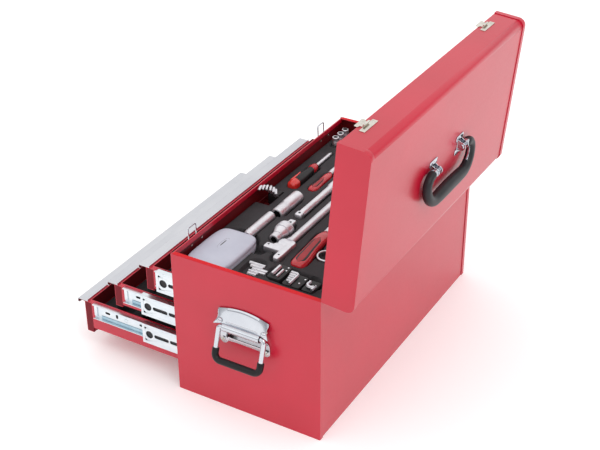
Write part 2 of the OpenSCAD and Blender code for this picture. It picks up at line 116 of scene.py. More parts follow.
@dataclass(frozen=True)
class Finish:
    """One real finish: what it's made of, how it was made, and what that gives the eye.

    Attributes:
        name: The finish in a maker's words.
        slot: Material slot of the record that it belongs to; not used.
        surface: How the surface was made.
        colour: Main sRGB colour.
        shade: Second sRGB colour that drifts through the first.
        metallic: 1 for bare or plated metal.
        roughness: Mean roughness.
        spread: How far roughness wanders either way.
        ior: Refractive index; a metal keeps the default.
        coat: Weight of a clear top layer.
        coat_roughness: Roughness of that layer.
        grain_mm: Size of the fine pattern.
        depth_mm: Height of the fine pattern.
        drift_mm: Size of the colour drift.
        stretch: How much each axis compresses the fine pattern.
    """

    name: str
    slot: str
    surface: Surface
    colour: str
    shade: str
    metallic: float = 0.0
    roughness: float = 0.4
    spread: float = 0.04
    ior: float = 1.5
    coat: float = 0.0
    coat_roughness: float = 0.05
    grain_mm: float = 1.0
    depth_mm: float = 0.01
    drift_mm: float = 60.0
    stretch: Point = (1.0, 1.0, 1.0)

    def pattern(self, tree: bpy.types.NodeTree, place: bpy.types.NodeSocket) -> bpy.types.NodeSocket:
        """Adds the fine pattern of this surface.

        Args:
            tree: Node tree of the material.
            place: Object coordinates in metres, already stretched.

        Returns:
            The output that carries the pattern's height, 0 to 1.
        """
        scale = 1 / (self.grain_mm * MM)
        if self.surface is Surface.CELLULAR:
            cells = add_node(tree, "ShaderNodeTexVoronoi", {"Scale": scale}, {"Vector": place})
            return cells.outputs["Distance"]
        detail = 2.0 if self.surface is Surface.SPRAYED else 5.0
        noise = add_node(
            tree, "ShaderNodeTexNoise", {"Scale": scale, "Detail": detail, "Roughness": 0.55},
            {"Vector": place},
        )
        return noise.outputs["Fac"]

    def material(self) -> bpy.types.Material:
        """Builds the finish once and hands back the same material after that.

        Returns:
            The node-based material.
        """
        made = bpy.data.materials.get(self.name)
        if made:
            return made
        made = bpy.data.materials.new(self.name)
        made.use_nodes = True
        tree = made.node_tree
        tree.nodes.clear()
        where = add_node(tree, "ShaderNodeTexCoord").outputs["Object"]
        drift = add_node(
            tree, "ShaderNodeTexNoise",
            {"Scale": 1 / (self.drift_mm * MM), "Detail": 3.0}, {"Vector": where},
        )
        tint = add_node(tree, "ShaderNodeValToRGB", links={"Fac": drift.outputs["Fac"]})
        tint.color_ramp.elements[0].position = 0.35
        tint.color_ramp.elements[0].color = linear(self.shade)
        tint.color_ramp.elements[1].position = 0.65
        tint.color_ramp.elements[1].color = linear(self.colour)
        stretched = add_node(
            tree, "ShaderNodeMapping", {"Scale": self.stretch}, {"Vector": where}
        )
        height = self.pattern(tree, stretched.outputs["Vector"])
        gloss = add_node(
            tree, "ShaderNodeMapRange",
            {"To Min": max(0.02, self.roughness - self.spread), "To Max": self.roughness + self.spread},
            {"Value": height},
        )
        bump = add_node(
            tree, "ShaderNodeBump",
            {"Strength": 1.0, "Distance": self.depth_mm * MM}, {"Height": height},
        )
        shader = add_node(
            tree, "ShaderNodeBsdfPrincipled",
            {
                "Metallic": self.metallic, "IOR": self.ior,
                "Coat Weight": self.coat, "Coat Roughness": self.coat_roughness,
            },
            {
                "Base Color": tint.outputs["Color"], "Roughness": gloss.outputs["Result"],
                "Normal": bump.outputs["Normal"],
            },
        )
        add_node(tree, "ShaderNodeOutputMaterial", links={"Surface": shader.outputs["BSDF"]})
        return made


# Stoved enamel sprayed on sheet steel: a soft gloss that picks up the pale room, with
# the faint orange peel that a spray gun leaves about every 4 mm
RED_ENAMEL = Finish(
    "stoved red enamel", "red_enamel", Surface.SPRAYED, "C2082E", "BB062A",
    roughness=0.34, ior=1.48, coat=0.35, coat_roughness=0.2,
    grain_mm=4.0, depth_mm=0.006, drift_mm=120.0,
)
# The same red enamel darkened as painted shade, for the insides of the compartment and drawers where
# shade falls
INNER_SHADE_ENAMEL = Finish(
    "red enamel darkened as painted shade", "inner_red", Surface.SPRAYED, "66060F", "5A050D",
    roughness=0.42, ior=1.45, coat=0.2, coat_roughness=0.15,
    grain_mm=3.0, depth_mm=0.008, drift_mm=90.0,
)
# A brighter, more saturated copy of the red enamel without sheen, laid on the rim tops as painted light
# to match how they look lit
RIM_LIT_ENAMEL = Finish(
    "red enamel recoloured as painted light", "red_enamel", Surface.SPRAYED, "D40A1A", "CC0816",
    roughness=0.5, ior=1.3, grain_mm=0.9, depth_mm=0.004, drift_mm=60.0,
)
# The red enamel of the folds darkened to deep red as painted shade, for the drawer fronts' hollow ends
FOLD_SHADE_ENAMEL = Finish(
    "fold enamel darkened as painted shade", "red_enamel", Surface.SPRAYED, "78041A", "700316",
    roughness=0.45, ior=1.3, grain_mm=0.9, depth_mm=0.004, drift_mm=60.0,
)
# Bright zinc with a blue passivation: pale, slightly cold metal with soft cloudy flow
ZINC = Finish(
    "blue passivated zinc plate", "zinc", Surface.PLATED, "E4EAEE", "DAE3E9",
    metallic=1.0, roughness=0.34, spread=0.05, grain_mm=2.5, depth_mm=0.004, drift_mm=16.0,
)
# The same zinc under a heavier blue chromate, in the rolled raceways
BLUE_ZINC = Finish(
    "deep blue chromate zinc", "zinc", Surface.PLATED, "B4CCD8", "A3BFCE",
    metallic=1.0, roughness=0.36, spread=0.05, grain_mm=2.5, depth_mm=0.004, drift_mm=22.0,
)
# Bright chrome over polished nickel, as on pressed handles: near mirror, slightly cool
CHROME = Finish(
    "bright chrome plate", "chrome", Surface.PLATED, "CDD0D6", "C5C8CF",
    metallic=1.0, roughness=0.10, spread=0.03, grain_mm=5.0, depth_mm=0.004, drift_mm=30.0,
)
# Nickel plate on small pressed hardware: a touch yellow and softer than chrome
NICKEL = Finish(
    "satin nickel plate", "zinc", Surface.PLATED, "DCD8CF", "CBC6BB",
    metallic=1.0, roughness=0.22, spread=0.05, grain_mm=1.5, depth_mm=0.004, drift_mm=10.0,
)
# Extruded aluminium, anodised matt: fine die lines run its whole length along X
ANODISED = Finish(
    "anodised aluminium extrusion", "aluminium", Surface.BRUSHED, "D4D5D9", "CDCED3",
    metallic=1.0, roughness=0.42, spread=0.08, grain_mm=0.8, depth_mm=0.004,
    drift_mm=80.0, stretch=(0.01, 1.0, 1.0),
)
# Injection-moulded black polypropylene with a fine spark-eroded grain
BLACK_GRIP = Finish(
    "black moulded polypropylene", "black_plastic", Surface.MOULDED, "26262A", "1F1F22",
    roughness=0.42, spread=0.06, ior=1.38, grain_mm=0.7, depth_mm=0.03, drift_mm=25.0,
)
# Dipped vinyl sleeve on a wire grip: darker and a little glossier than the moulding
BLACK_VINYL = Finish(
    "black dipped vinyl", "black_plastic", Surface.MOULDED, "19171A", "131214",
    roughness=0.36, spread=0.05, ior=1.36, grain_mm=1.2, depth_mm=0.02, drift_mm=18.0,
)
# Closed-cell polyethylene foam: matt charcoal, with cut cells about 1 mm across
FOAM = Finish(
    "charcoal closed-cell foam", "foam", Surface.CELLULAR, "3B383B", "333133",
    roughness=0.92, spread=0.05, ior=1.45, grain_mm=1.1, depth_mm=0.12, drift_mm=35.0,
)
# Injection-moulded ABS with a satin texture, lavender grey
GREY_ABS = Finish(
    "lavender grey ABS", "grey_plastic", Surface.MOULDED, "BDC0CE", "B5B8C7",
    roughness=0.40, spread=0.05, ior=1.54, grain_mm=0.8, depth_mm=0.015, drift_mm=40.0,
)
# Hard red acetate of tool handles, polished by the mould
RED_HANDLE = Finish(
    "red moulded handle", "tool_grip", Surface.MOULDED, "C8202C", "B81A26",
    roughness=0.26, spread=0.04, ior=1.49, coat=0.4, grain_mm=1.5, depth_mm=0.01, drift_mm=20.0,
)
# Soft black elastomer moulded over the handles' middle
SOFT_BLACK = Finish(
    "soft black elastomer", "tool_grip", Surface.MOULDED, "1C1B1D", "161517",
    roughness=0.55, spread=0.05, ior=1.5, grain_mm=0.6, depth_mm=0.03, drift_mm=15.0,
)
# Drop-forged chrome vanadium, satin plated: pale grey with fine tumbling marks
TOOL_STEEL = Finish(
    "satin chrome vanadium", "tool_steel", Surface.PLATED, "E6E4E8", "DAD8DD",
    metallic=1.0, roughness=0.44, spread=0.06, grain_mm=0.9, depth_mm=0.006, drift_mm=12.0,
)
# Black foam of the drawer inserts, a little smoother than the tray's
INSERT_FOAM = Finish(
    "black drawer foam", "liner", Surface.CELLULAR, "2A282A", "232123",
    roughness=0.9, spread=0.05, ior=1.45, grain_mm=1.4, depth_mm=0.10, drift_mm=45.0,
)
# The same ABS in a darker shade, on the plaque's rim
PLAQUE_GREY = Finish(
    "slate grey ABS", "grey_plastic", Surface.MOULDED, "8C8B98", "7F7E8C",
    roughness=0.35, spread=0.04, ior=1.54, grain_mm=0.8, depth_mm=0.01, drift_mm=10.0,
)
# Near-black insert of the plaque
DARK_PLAQUE = Finish(
    "charcoal ABS", "grey_plastic", Surface.MOULDED, "46454E", "3C3B44",
    roughness=0.38, spread=0.04, ior=1.54, grain_mm=0.8, depth_mm=0.01, drift_mm=10.0,
)
# Softer red field of a handle's inlay
RED_INLAY = Finish(
    "matt red inlay", "tool_grip", Surface.MOULDED, "A81C26", "961620",
    roughness=0.5, spread=0.05, ior=1.5, grain_mm=1.2, depth_mm=0.03, drift_mm=9.0,
)
# Orange-red cap of the screwdriver, lighter than the ratchets
BRIGHT_RED = Finish(
    "orange red moulded cap", "tool_grip", Surface.MOULDED, "E0342C", "D42C26",
    roughness=0.24, spread=0.04, ior=1.49, coat=0.5, grain_mm=1.5, depth_mm=0.01, drift_mm=20.0,
)
# Painted shade: a dark patch put where an opening or recess lies in shade, such as the hollow of a
# socket
RECESS_SHADE = Finish(
    "painted shade of openings", "tool_steel", Surface.PLATED, "2A2A2C", "202022",
    metallic=1.0, roughness=0.45, grain_mm=1.0, depth_mm=0.01, drift_mm=10.0,
)


# ---------------------------------------------------------------- mesh making


@dataclass
class Shape:
    """Mesh under construction, in millimetres."""

    verts: list[Point] = field(default_factory=list)
    faces: list[tuple[int, ...]] = field(default_factory=list)

    def add(self, verts: Iterable[Sequence[float]], faces: Iterable[Sequence[int]]) -> "Shape":
        """Appends vertices and faces; face numbers count from the new vertices."""
        base = len(self.verts)
        self.verts.extend((float(v[0]), float(v[1]), float(v[2])) for v in verts)
        self.faces.extend(tuple(base + i for i in face) for face in faces)
        return self

    def join(self, other: "Shape", place: Matrix | None = None) -> "Shape":
        """Appends another shape, moved by a matrix."""
        move = place or Matrix.Identity(4)
        return self.add([tuple(move @ Vector(v)) for v in other.verts], other.faces)


def loft(rings: Sequence[Sequence[Point]], closed: bool = True) -> Shape:
    """Skins rings of equal point count, one after another.

    Args:
        rings: Each ring's points, in order round the section.
        closed: Whether the first and last rings are capped.

    Returns:
        The skinned shape.
    """
    count = len(rings[0])
    verts = [p for ring in rings for p in ring]
    faces: list[tuple[int, ...]] = []
    for row in range(len(rings) - 1):
        low, high = row * count, (row + 1) * count
        for i in range(count):
            j = (i + 1) % count
            faces.append((low + i, low + j, high + j, high + i))
    if closed:
        faces.append(tuple(reversed(range(count))))
        faces.append(tuple(range((len(rings) - 1) * count, len(rings) * count)))
    return Shape().add(verts, faces)


def circle(radius: float, count: int = 40) -> list[Flat]:
    """Points of a circle about the origin."""
    return [
        (radius * math.cos(math.tau * i / count), radius * math.sin(math.tau * i / count))
        for i in range(count)
    ]


def superellipse(half_w: float, half_h: float, power: float, count: int = 48) -> list[Flat]:
    """Points of a rounded rectangle that is squarer as power grows."""
    points = []
    for i in range(count):
        angle = math.tau * i / count
        c, s = math.cos(angle), math.sin(angle)
        points.append((
            half_w * math.copysign(abs(c) ** (2 / power), c),
            half_h * math.copysign(abs(s) ** (2 / power), s),
        ))
    return points


def lathe(profile: Sequence[Flat], count: int = 40) -> Shape:
    """Turns a profile of (height, radius) pairs about Z."""
    return loft([[(x, y, z) for x, y in circle(max(r, 0.02), count)] for z, r in profile])


def extrude(outline: Sequence[Flat], low: float, high: float) -> Shape:
    """Extrudes an outline in XY from one height to another."""
    return loft([[(x, y, low) for x, y in outline], [(x, y, high) for x, y in outline]])


def sweep(path: Sequence[Point], sections: Sequence[Sequence[Flat]], up: Point) -> Shape:
    """Sweeps one section per path point.

    Args:
        path: Points of the centre line.
        sections: One outline per point; x is across, y along up.
        up: Direction that each section's y keeps to.

    Returns:
        The swept, capped shape.
    """
    points = [Vector(p) for p in path]
    rings = []
    for i, (centre, section) in enumerate(zip(points, sections)):
        ahead = points[min(i + 1, len(points) - 1)] - points[max(i - 1, 0)]
        rise = Vector(up).normalized()
        side = ahead.cross(rise).normalized()
        rise = side.cross(ahead).normalized()
        rings.append([tuple(centre + side * x + rise * y) for x, y in section])
    return loft(rings)


def arc(centre: Flat, radius: float, start: float, end: float, steps: int = 10) -> list[Flat]:
    """Points along an arc, from start to end degrees."""
    return [
        (
            centre[0] + radius * math.cos(math.radians(start + (end - start) * i / steps)),
            centre[1] + radius * math.sin(math.radians(start + (end - start) * i / steps)),
        )
        for i in range(steps + 1)
    ]


def along(start: Point, end: Point) -> Matrix:
    """Matrix that carries +Z onto the line from start to end, with X kept level."""
    a, b = Vector(start), Vector(end)
    direction = (b - a).normalized()
    side = Vector((0, 0, 1)).cross(direction)
    if side.length < 1e-6:
        side = Vector((1, 0, 0))
    side.normalize()
    rise = direction.cross(side)
    turn = Matrix((side, rise, direction)).transposed().to_4x4()
    return Matrix.Translation(a) @ turn


def turned(profile: Sequence[Flat], y: float, z: float, count: int = 32) -> Shape:
    """Turns a profile of (x, radius) pairs about a line along X at the given y and z."""
    return loft([
        [(x, y + c, z + s) for c, s in circle(max(r, 0.02), count)] for x, r in profile
    ])


def brick(low: Point, high: Point, power: float = 9.0, crown: float = 0.0) -> Shape:
    """Block with soft corners and rounded top and bottom rims.

    Args:
        low: Lowest corner.
        high: Highest corner.
        power: How square its plan is.
        crown: How far its top swells.

    Returns:
        The block.
    """
    cx, cy = (low[0] + high[0]) / 2, (low[1] + high[1]) / 2
    half_w, half_d, tall = (high[0] - low[0]) / 2, (high[1] - low[1]) / 2, high[2] - low[2]
    rim = min(half_w, half_d, tall) * 0.25
    top = high[2] - crown
    steps = [(rim, low[2]), (rim * 0.3, low[2] + rim * 0.3), (0, low[2] + rim),
             (0, top - rim), (rim * 0.3, top - rim * 0.3), (rim, top)]
    if crown:
        steps += [(half_d * 0.35, top + crown * 0.65), (half_d * 0.7, high[2])]
    rings = []
    for inset, z in steps:
        outline = superellipse(half_w - inset, half_d - inset, power)
        rings.append([(cx + x, cy + y, z) for x, y in outline])
    return loft(rings)


def slab(low: Point, high: Point) -> Shape:
    """Thin flat layer between two corners."""
    outline = [(low[0], low[1]), (high[0], low[1]), (high[0], high[1]), (low[0], high[1])]
    return extrude(outline, low[2], high[2])


def dome(centre: Point, facing: Point, radius: float, height: float) -> Shape:
    """Low dome, such as a rivet's head, that faces one way."""
    profile = [(height * math.sin(a), radius * math.cos(a))
               for a in (math.radians(d) for d in (0, 18, 36, 54, 72, 88))]
    tip = tuple(c + f for c, f in zip(centre, facing))
    return Shape().join(lathe([(0, radius), *profile[1:]], 20), along(centre, tip))


def sheet_metal(
    name: str,
    rows: Sequence[Sequence[Point]],
    body: str,
    finish: Finish,
    thick_mm: float,
    outward: Point,
) -> bpy.types.Object:
    """Makes a formed sheet from rows of points on its outer face.

    Args:
        name: Name of the piece.
        rows: Rows of equally many points.
        body: CAD body that it moves with.
        finish: What it's made of.
        thick_mm: Thickness, laid on the inner side.
        outward: Direction that the outer face looks in.

    Returns:
        The new object.
    """
    count = len(rows[0])
    faces = [
        (r * count + i, r * count + i + 1, (r + 1) * count + i + 1, (r + 1) * count + i)
        for r in range(len(rows) - 1) for i in range(count - 1)
    ]
    shape = Shape().add([p for row in rows for p in row], faces)
    made = piece(name, shape, body, finish, smooth_deg=50.0)
    facing = sum((p.normal * p.area for p in made.data.polygons), Vector())
    if facing.dot(Vector(outward)) < 0:
        made.data.flip_normals()
    fold = made.modifiers.new("gauge", "SOLIDIFY")
    fold.thickness = thick_mm * MM
    fold.offset = -1.0
    return made


def lid_turn(angle: float = -95.0) -> Matrix:
    """Matrix from the closed lid's place to where it stands open."""
    hinge = Matrix.Translation((0, 123.5, 243.0))
    return hinge @ Matrix.Rotation(math.radians(angle), 4, "X") @ hinge.inverted()


def piece(
    name: str,
    shape: Shape,
    body: str,
    finish: Finish,
    bevel_mm: float = 0.0,
    smooth_deg: float = 35.0,
    subdivide: int = 0,
) -> bpy.types.Object:
    """Makes a finished piece of the chest from a shape.

    Args:
        name: Name of the piece.
        shape: Its mesh in millimetres.
        body: CAD body that it moves with.
        finish: What it's made of.
        bevel_mm: Width of its rounded edges, or 0.
        smooth_deg: Edges sharper than this stay crisp.
        subdivide: Levels of subdivision.

    Returns:
        The new object.
    """
    mesh = bpy.data.meshes.new(name)
    mesh.from_pydata([tuple(c * MM for c in v) for v in shape.verts], [], shape.faces)
    work = bmesh.new()
    work.from_mesh(mesh)
    bmesh.ops.remove_doubles(work, verts=work.verts, dist=1e-6)
    bmesh.ops.recalc_face_normals(work, faces=work.faces)
    work.to_mesh(mesh)
    work.free()
    mesh.polygons.foreach_set("use_smooth", [True] * len(mesh.polygons))
    mesh.set_sharp_from_angle(angle=math.radians(smooth_deg))
    mesh.materials.append(finish.material())
    made = bpy.data.objects.new(name, mesh)
    bpy.context.scene.collection.objects.link(made)
    if bevel_mm:
        round_edges(made, bevel_mm)
    if subdivide:
        made.modifiers.new("smooth", "SUBSURF").levels = subdivide
        made.modifiers["smooth"].render_levels = subdivide
    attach(made, body)
    LOG.info("piece %s rides on %s", name, body)
    return made


def round_edges(target: bpy.types.Object, width_mm: float) -> None:
    """Rounds an object's sharp edges, as folded or moulded edges are."""
    weld = target.modifiers.new("weld", "WELD")
    weld.merge_threshold = 1e-6
    edges = target.modifiers.new("edges", "BEVEL")
    edges.width = width_mm * MM
    edges.segments = 2
    edges.limit_method = "ANGLE"
    edges.angle_limit = math.radians(40)
    edges.use_clamp_overlap = True
    edges.harden_normals = False


def dress(node: str, finish: Finish, edge_mm: float = 0.0) -> None:
    """Gives a CAD node its real finish and softened edges.

    Args:
        node: Name of the CAD node.
        finish: What it's made of.
        edge_mm: Width of its rounded edges, or 0.
    """
    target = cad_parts[node]
    if not target.material_slots:
        target.data.materials.append(finish.material())
    for used in target.material_slots:
        used.link = "OBJECT"
        used.material = finish.material()
    if edge_mm:
        round_edges(target, edge_mm)
    LOG.info("dressed %s in %s", node, finish.name)


# ---------------------------------------------------------------- chest body and lid


class Side(Enum):
    """An end of the chest, as the sign of its X."""

    RIGHT = 1
    LEFT = -1

    @property
    def word(self) -> str:
        """The side's name in node names."""
        return self.name.lower()


class Level(Enum):
    """A drawer, with its pull's top and its skin's face at rest."""

    BOTTOM = (87.0, -312.3)
    MIDDLE = (139.0, -248.3)
    TOP = (191.0, -184.3)

    @property
    def word(self) -> str:
        """The level's name in node names."""
        return self.name.lower()


@dataclass
class ChestBody:
    """Folded steel body with its end pans, header and hinge."""

    end_x: float = 255.0
    back_y: float = 123.5
    rim_z: float = 243.0
    rim_width: float = 6.9
    rim_inset: float = 0.3
    edge_mm: float = 0.7
    fine_edge_mm: float = 0.3
    # Inner faces that the painted shade covers, its thickness and the heights it lies between
    wall_x: float = 253.45
    header_y: float = -120.75
    paint: float = 0.3
    paint_z: Flat = (203.0, 241.4)

    def paint_rim_light(self) -> None:
        """Lays the recoloured enamel, painted light, along the tops of both end pans."""
        rims = Shape()
        for side in Side:
            near, far = self.end_x - self.rim_width, self.end_x - self.rim_inset
            x0, x1 = sorted((side.value * near, side.value * far))
            low = (x0, self.header_y + 0.75, self.rim_z - 0.1)
            rims.join(slab(low, (x1, self.back_y - self.rim_inset, self.rim_z + 0.2)))
        piece("rim_painted_light", rims, "case", RIM_LIT_ENAMEL)

    def paint_inside(self) -> None:
        """Lays painted shade, a thin dark red skin, on the header and on both end walls of the
        compartment.
        """
        low, high = self.paint_z
        across, along_y = self.wall_x - 0.85, -self.header_y - 0.25
        skins = slab((-across, self.header_y - self.paint, low), (across, self.header_y, high))
        for side in Side:
            x0, x1 = sorted((side.value * self.wall_x, side.value * (self.wall_x + self.paint)))
            skins.join(slab((x0, -along_y, low), (x1, along_y, high - 1.4)))
        piece("compartment_painted_shade", skins, "case", INNER_SHADE_ENAMEL)

    def build(self) -> None:
        """Dresses the sheet metal and the hinge and lays the painted light on the rims and the painted
        shade inside.
        """
        for node in ("case_wrap", "case_end_right", "case_end_left", "front_header"):
            dress(node, RED_ENAMEL, self.edge_mm)
        # The compartment floor takes the darkened enamel as painted shade
        dress("compartment_floor", INNER_SHADE_ENAMEL, self.fine_edge_mm)
        self.paint_rim_light()
        self.paint_inside()
        for node in ("hinge_leaf_case", "hinge_leaf_lid", "hinge_pin"):
            dress(node, ZINC)
        dress("case_rivets", NICKEL)
        for node in ("stay_bracket_case", "stay_bracket_lid", "stay_link"):
            dress(node, ZINC, self.fine_edge_mm)


@dataclass
class ChestLid:
    """Pressed lid with its end caps."""

    edge_mm: float = 0.7

    def build(self) -> None:
        """Dresses the lid's sheet metal."""
        for node in ("lid_wrap", "lid_end_right", "lid_end_left"):
            dress(node, RED_ENAMEL, self.edge_mm)
        dress("latch_keepers", NICKEL, 0.35)


@dataclass
class SideHandle:
    """Drop handle on one end: a formed plate with a rolled barrel that holds a wire bail."""

    side: Side
    face_x: float = 255.0
    axle_off: float = 9.0
    axle_z: float = 153.0
    barrel_r: float = 6.5
    barrel_half: float = 31.0
    gauge: float = 1.2
    columns: int = 72
    # Stand-off from the panel, height, half width and droop at the sides, from the top rim
    # down to where the barrel begins
    hood: tuple[tuple[float, float, float, float], ...] = (
        (1.6, 186.0, 41.0, 7.6), (2.4, 185.4, 42.4, 7.2), (4.0, 181.0, 42.4, 6.0),
        (5.4, 175.6, 41.0, 4.4), (6.4, 170.0, 40.6, 3.0), (7.2, 165.6, 41.8, 2.0),
        (8.0, 162.4, 43.8, 1.8), (8.4, 160.6, 45.2, 2.4), (8.6, 159.8, 45.2, 2.6),
    )
    # Stand-off at which the hood's wings start to curl out, over how much of it, and how far
    curl: tuple[float, float, float] = (4.0, 4.4, 4.2)
    # Stand-off and height of the crease between hood and barrel
    crease: Flat = (8.2, 158.4)
    # Stand-off, height and half width below the barrel, down to the apron's straight part
    apron: tuple[tuple[float, float, float], ...] = (
        (3.4, 145.4, 32.0), (2.2, 143.6, 37.0), (1.7, 140.0, 41.0), (1.6, 132.0, 42.0),
    )
    # Place across, height and radius of the lug at each lower corner
    lug: tuple[float, float, float] = (35.3, 125.7, 6.7)
    apron_z: float = 124.0
    # Stand-off, place across and height of the hood's rivets
    hood_rivet: tuple[float, float, float] = (9.4, 36.5, 162.6)
    # Height, stand-off and radius of each pressed bead, and how far it runs from the middle
    beads: tuple[tuple[float, float, float], ...] = ((161.6, 7.6, 1.5), (147.0, 5.0, 1.1))
    bead_half: int = 29

    def hem(self, y: float) -> float:
        """Height of the apron's lower edge at y, with a round lug at each side."""
        middle, height, radius = self.lug
        off = abs(abs(y) - middle)
        arch = self.apron_z + 1.5 * (1 - (y / middle) ** 2)
        return min(arch, height - math.sqrt(radius ** 2 - off ** 2)) if off < radius else arch

    def rows(self) -> list[list[Point]]:
        """Rows of points over the plate's outer face, from its top to its hem."""
        spread = [2 * i / self.columns - 1 for i in range(self.columns + 1)]
        sign = self.side.value
        made: list[list[Point]] = []
        start, span, reach = self.curl
        for off, z, half, droop in self.hood:
            # The wings curl out over the wire's shoulders, more towards their lower edge
            out = reach * min(1.0, max(0.0, (off - start) / span)) ** 1.5
            made.append([
                (sign * (self.face_x + off + out * u ** 4), u * half, z - droop * u * u)
                for u in spread
            ])
        off, z = self.crease
        made.append([(sign * (self.face_x + off), u * self.barrel_half, z) for u in spread])
        axle_x = self.face_x + self.axle_off
        for degrees in range(80, -131, -15):
            a = math.radians(degrees)
            x, z = axle_x + self.barrel_r * math.cos(a), self.axle_z + self.barrel_r * math.sin(a)
            made.append([(sign * x, u * self.barrel_half, z) for u in spread])
        for off, z, half in self.apron:
            made.append([(sign * (self.face_x + off), u * half, z) for u in spread])
        off, _, half = self.apron[-1]
        made.append([(sign * (self.face_x + off), u * half, self.hem(u * half)) for u in spread])
        return made

    def build(self) -> None:
        """Builds the plate and its rivets and dresses the bail."""
        word, sign = self.side.word, self.side.value
        plate = sheet_metal(
            f"hooded_plate_{word}", self.rows(), "case", CHROME, self.gauge, (sign, 0, 0)
        )
        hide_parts(f"handle_plate_{word}")
        heads = Shape()
        off, across, z = self.hood_rivet
        middle, height, _ = self.lug
        for end in (-1, 1):
            heads.join(dome((sign * (self.face_x + off), end * across, z), (sign, 0, 0.3), 4.4, 2.4))
            heads.join(dome((sign * (self.face_x + 1.5), end * middle, height), (sign, 0, 0), 3.2, 1.6))
        piece(f"plate_rivets_{word}", heads, "case", CHROME)
        # Pressed beads stiffen the plate just above and below the barrel
        beads, run = Shape(), self.bead_half
        for z, off, radius in self.beads:
            path = [(sign * (self.face_x + off), y, z) for y in range(-run, run + 1, 2)]
            taper = [circle(radius * min(1.0, 0.25 + (run - abs(p[1])) / 4), 16) for p in path]
            beads.join(sweep(path, taper, (0, 0, 1)))
        piece(f"plate_beads_{word}", beads, "case", CHROME)
        dress(f"side_bail_{word}", CHROME)
        dress(f"side_grip_{word}", BLACK_VINYL, 0.5)


@dataclass
class CarryHandle:
    """Carry handle on the lid: moulded grip on a steel core, held by two folded clevises."""

    # The pivots' Y and Z where the lid stands open, and their distance from the middle
    pivot: Flat = (190.978, 362.574)
    pivot_x: float = 45.0
    # Centre line: half its width, its drop, and its tight upper bends
    half: float = 75.0
    drop: float = 45.0
    tight: float = 15.0
    # Half thickness at the ends and at the fingers
    thin: float = 6.4
    thick: float = 8.9
    spine_inset: float = 6.9
    spine_end_x: float = -14.0
    # Closed lid's top, and the clevises' place on it
    lid_top: float = 291.8
    clevis_y: float = -1.5
    rise: float = 8.0

    def line(self, inset: float = 0.0, start_x: float = 57.0) -> list[Flat]:
        """Centre line in the handle's plane, drawn in towards its inside."""
        big = self.drop - self.tight
        right = [(start_x, -inset), (self.half - self.tight, -inset)]
        right += arc((self.half - self.tight, -self.tight), self.tight - inset, 85, 5, 9)
        right += arc((self.half - big, -self.tight), big - inset, 0, -90, 14)
        right += [(x, -self.drop + inset) for x in (30, 15, 0)]
        return right + [(-x, y) for x, y in reversed(right[:-1])]

    def place(self, points: Sequence[Flat]) -> list[Point]:
        """Carries points of the handle's plane to where it hangs."""
        return [(x, self.pivot[0], self.pivot[1] + y) for x, y in points]

    def build_grip(self) -> None:
        """Builds the swelling grip, its ferrules and the bright strip in its inner curve."""
        path = self.place(self.line())
        sections = []
        for i, (x, _, z) in enumerate(path):
            down = min(1.0, (self.pivot[1] - z) / self.drop)
            middle = 1 - min(1.0, abs(x) / self.half)
            size = self.thin + (self.thick - self.thin) * min(1.0, 0.5 * down + 0.8 * middle)
            if i in (0, len(path) - 1):
                size *= 0.86
            # The bar swells towards the fingers
            swell = 1.6 * middle * down
            sections.append([
                (a - swell * 0.8, b) for a, b in superellipse(size + swell, size * 0.94, 2.3, 36)
            ])
        grip = piece("carry_handgrip", sweep(path, sections, (0, 1, 0)), "carry_handle", BLACK_GRIP)
        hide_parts("carry_grip")
        inner = self.line(inset=self.spine_inset, start_x=60.0)[2:-2]
        spine = self.place([p for p in inner if p[0] < self.spine_end_x])
        strip = [superellipse(1.0, 1.7, 5, 16)] * len(spine)
        piece("carry_spine", sweep(spine, strip, (0, 1, 0)), "carry_handle", CHROME)
        ends = Shape()
        for s in (-1, 1):
            rings = []
            for x, w, h in ((51.5, 3.8, 4.6), (52, 4.6, 5.4), (57.5, 4.8, 5.8), (59, 4.2, 5.2)):
                rings.append([
                    (s * x, self.pivot[0] + a, self.pivot[1] + b)
                    for a, b in superellipse(w, h, 4, 28)
                ])
            ends.join(loft(rings))
        piece("carry_ferrules", ends, "carry_handle", CHROME)
        dress("carry_core", CHROME)

    def build_clevises(self) -> None:
        """Builds the two folded brackets with their pins and rivets on the open lid."""
        turn = lid_turn()
        metal, heads = Shape(), Shape()
        top = self.lid_top
        for s in (-1, 1):
            x = s * self.pivot_x
            for side in (-1, 1):
                # Ear: a tab with a round top, folded up from the base plate
                outline = [(self.clevis_y - 9.5, top + 0.2), (self.clevis_y + 9.5, top + 0.2)]
                outline += arc((self.clevis_y, top + self.rise), 6.2, -10, 190, 14)
                ear = [x + side * 5.9, x + side * 4.4]
                metal.join(loft([[(e, y, z) for y, z in outline] for e in ear]), turn)
                metal.join(
                    brick((x - 12, self.clevis_y + side * 11 - 4.5, top - 0.05),
                          (x + 12, self.clevis_y + side * 11 + 4.5, top + 1.5), 7), turn)
                heads.join(
                    dome((x, self.clevis_y + side * 10.8, top + 1.4), (0, 0, 1), 2.6, 1.3), turn)
                heads.join(dome((x + side * 5.8, self.clevis_y, top + self.rise),
                                (side, 0, 0), 4.0, 1.1), turn)
            metal.join(
                brick((x - 6.5, self.clevis_y - 12, top - 0.05),
                      (x + 6.5, self.clevis_y + 12, top + 1.4), 9), turn)
        clevis = piece("carry_clevises", metal, "lid", CHROME, bevel_mm=0.35)
        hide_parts("carry_brackets")
        piece("clevis_rivets", heads, "lid", CHROME)

    def build(self) -> None:
        """Builds the whole handle."""
        self.build_grip()
        self.build_clevises()


@dataclass
class Latches:
    """Draw latches on the header."""

    def build(self) -> None:
        """Dresses plates, levers and wire loops."""
        for side in Side:
            dress(f"latch_base_{side.word}", NICKEL, 0.3)
            dress(f"latch_lever_{side.word}", NICKEL, 0.3)
            dress(f"latch_bail_{side.word}", CHROME)


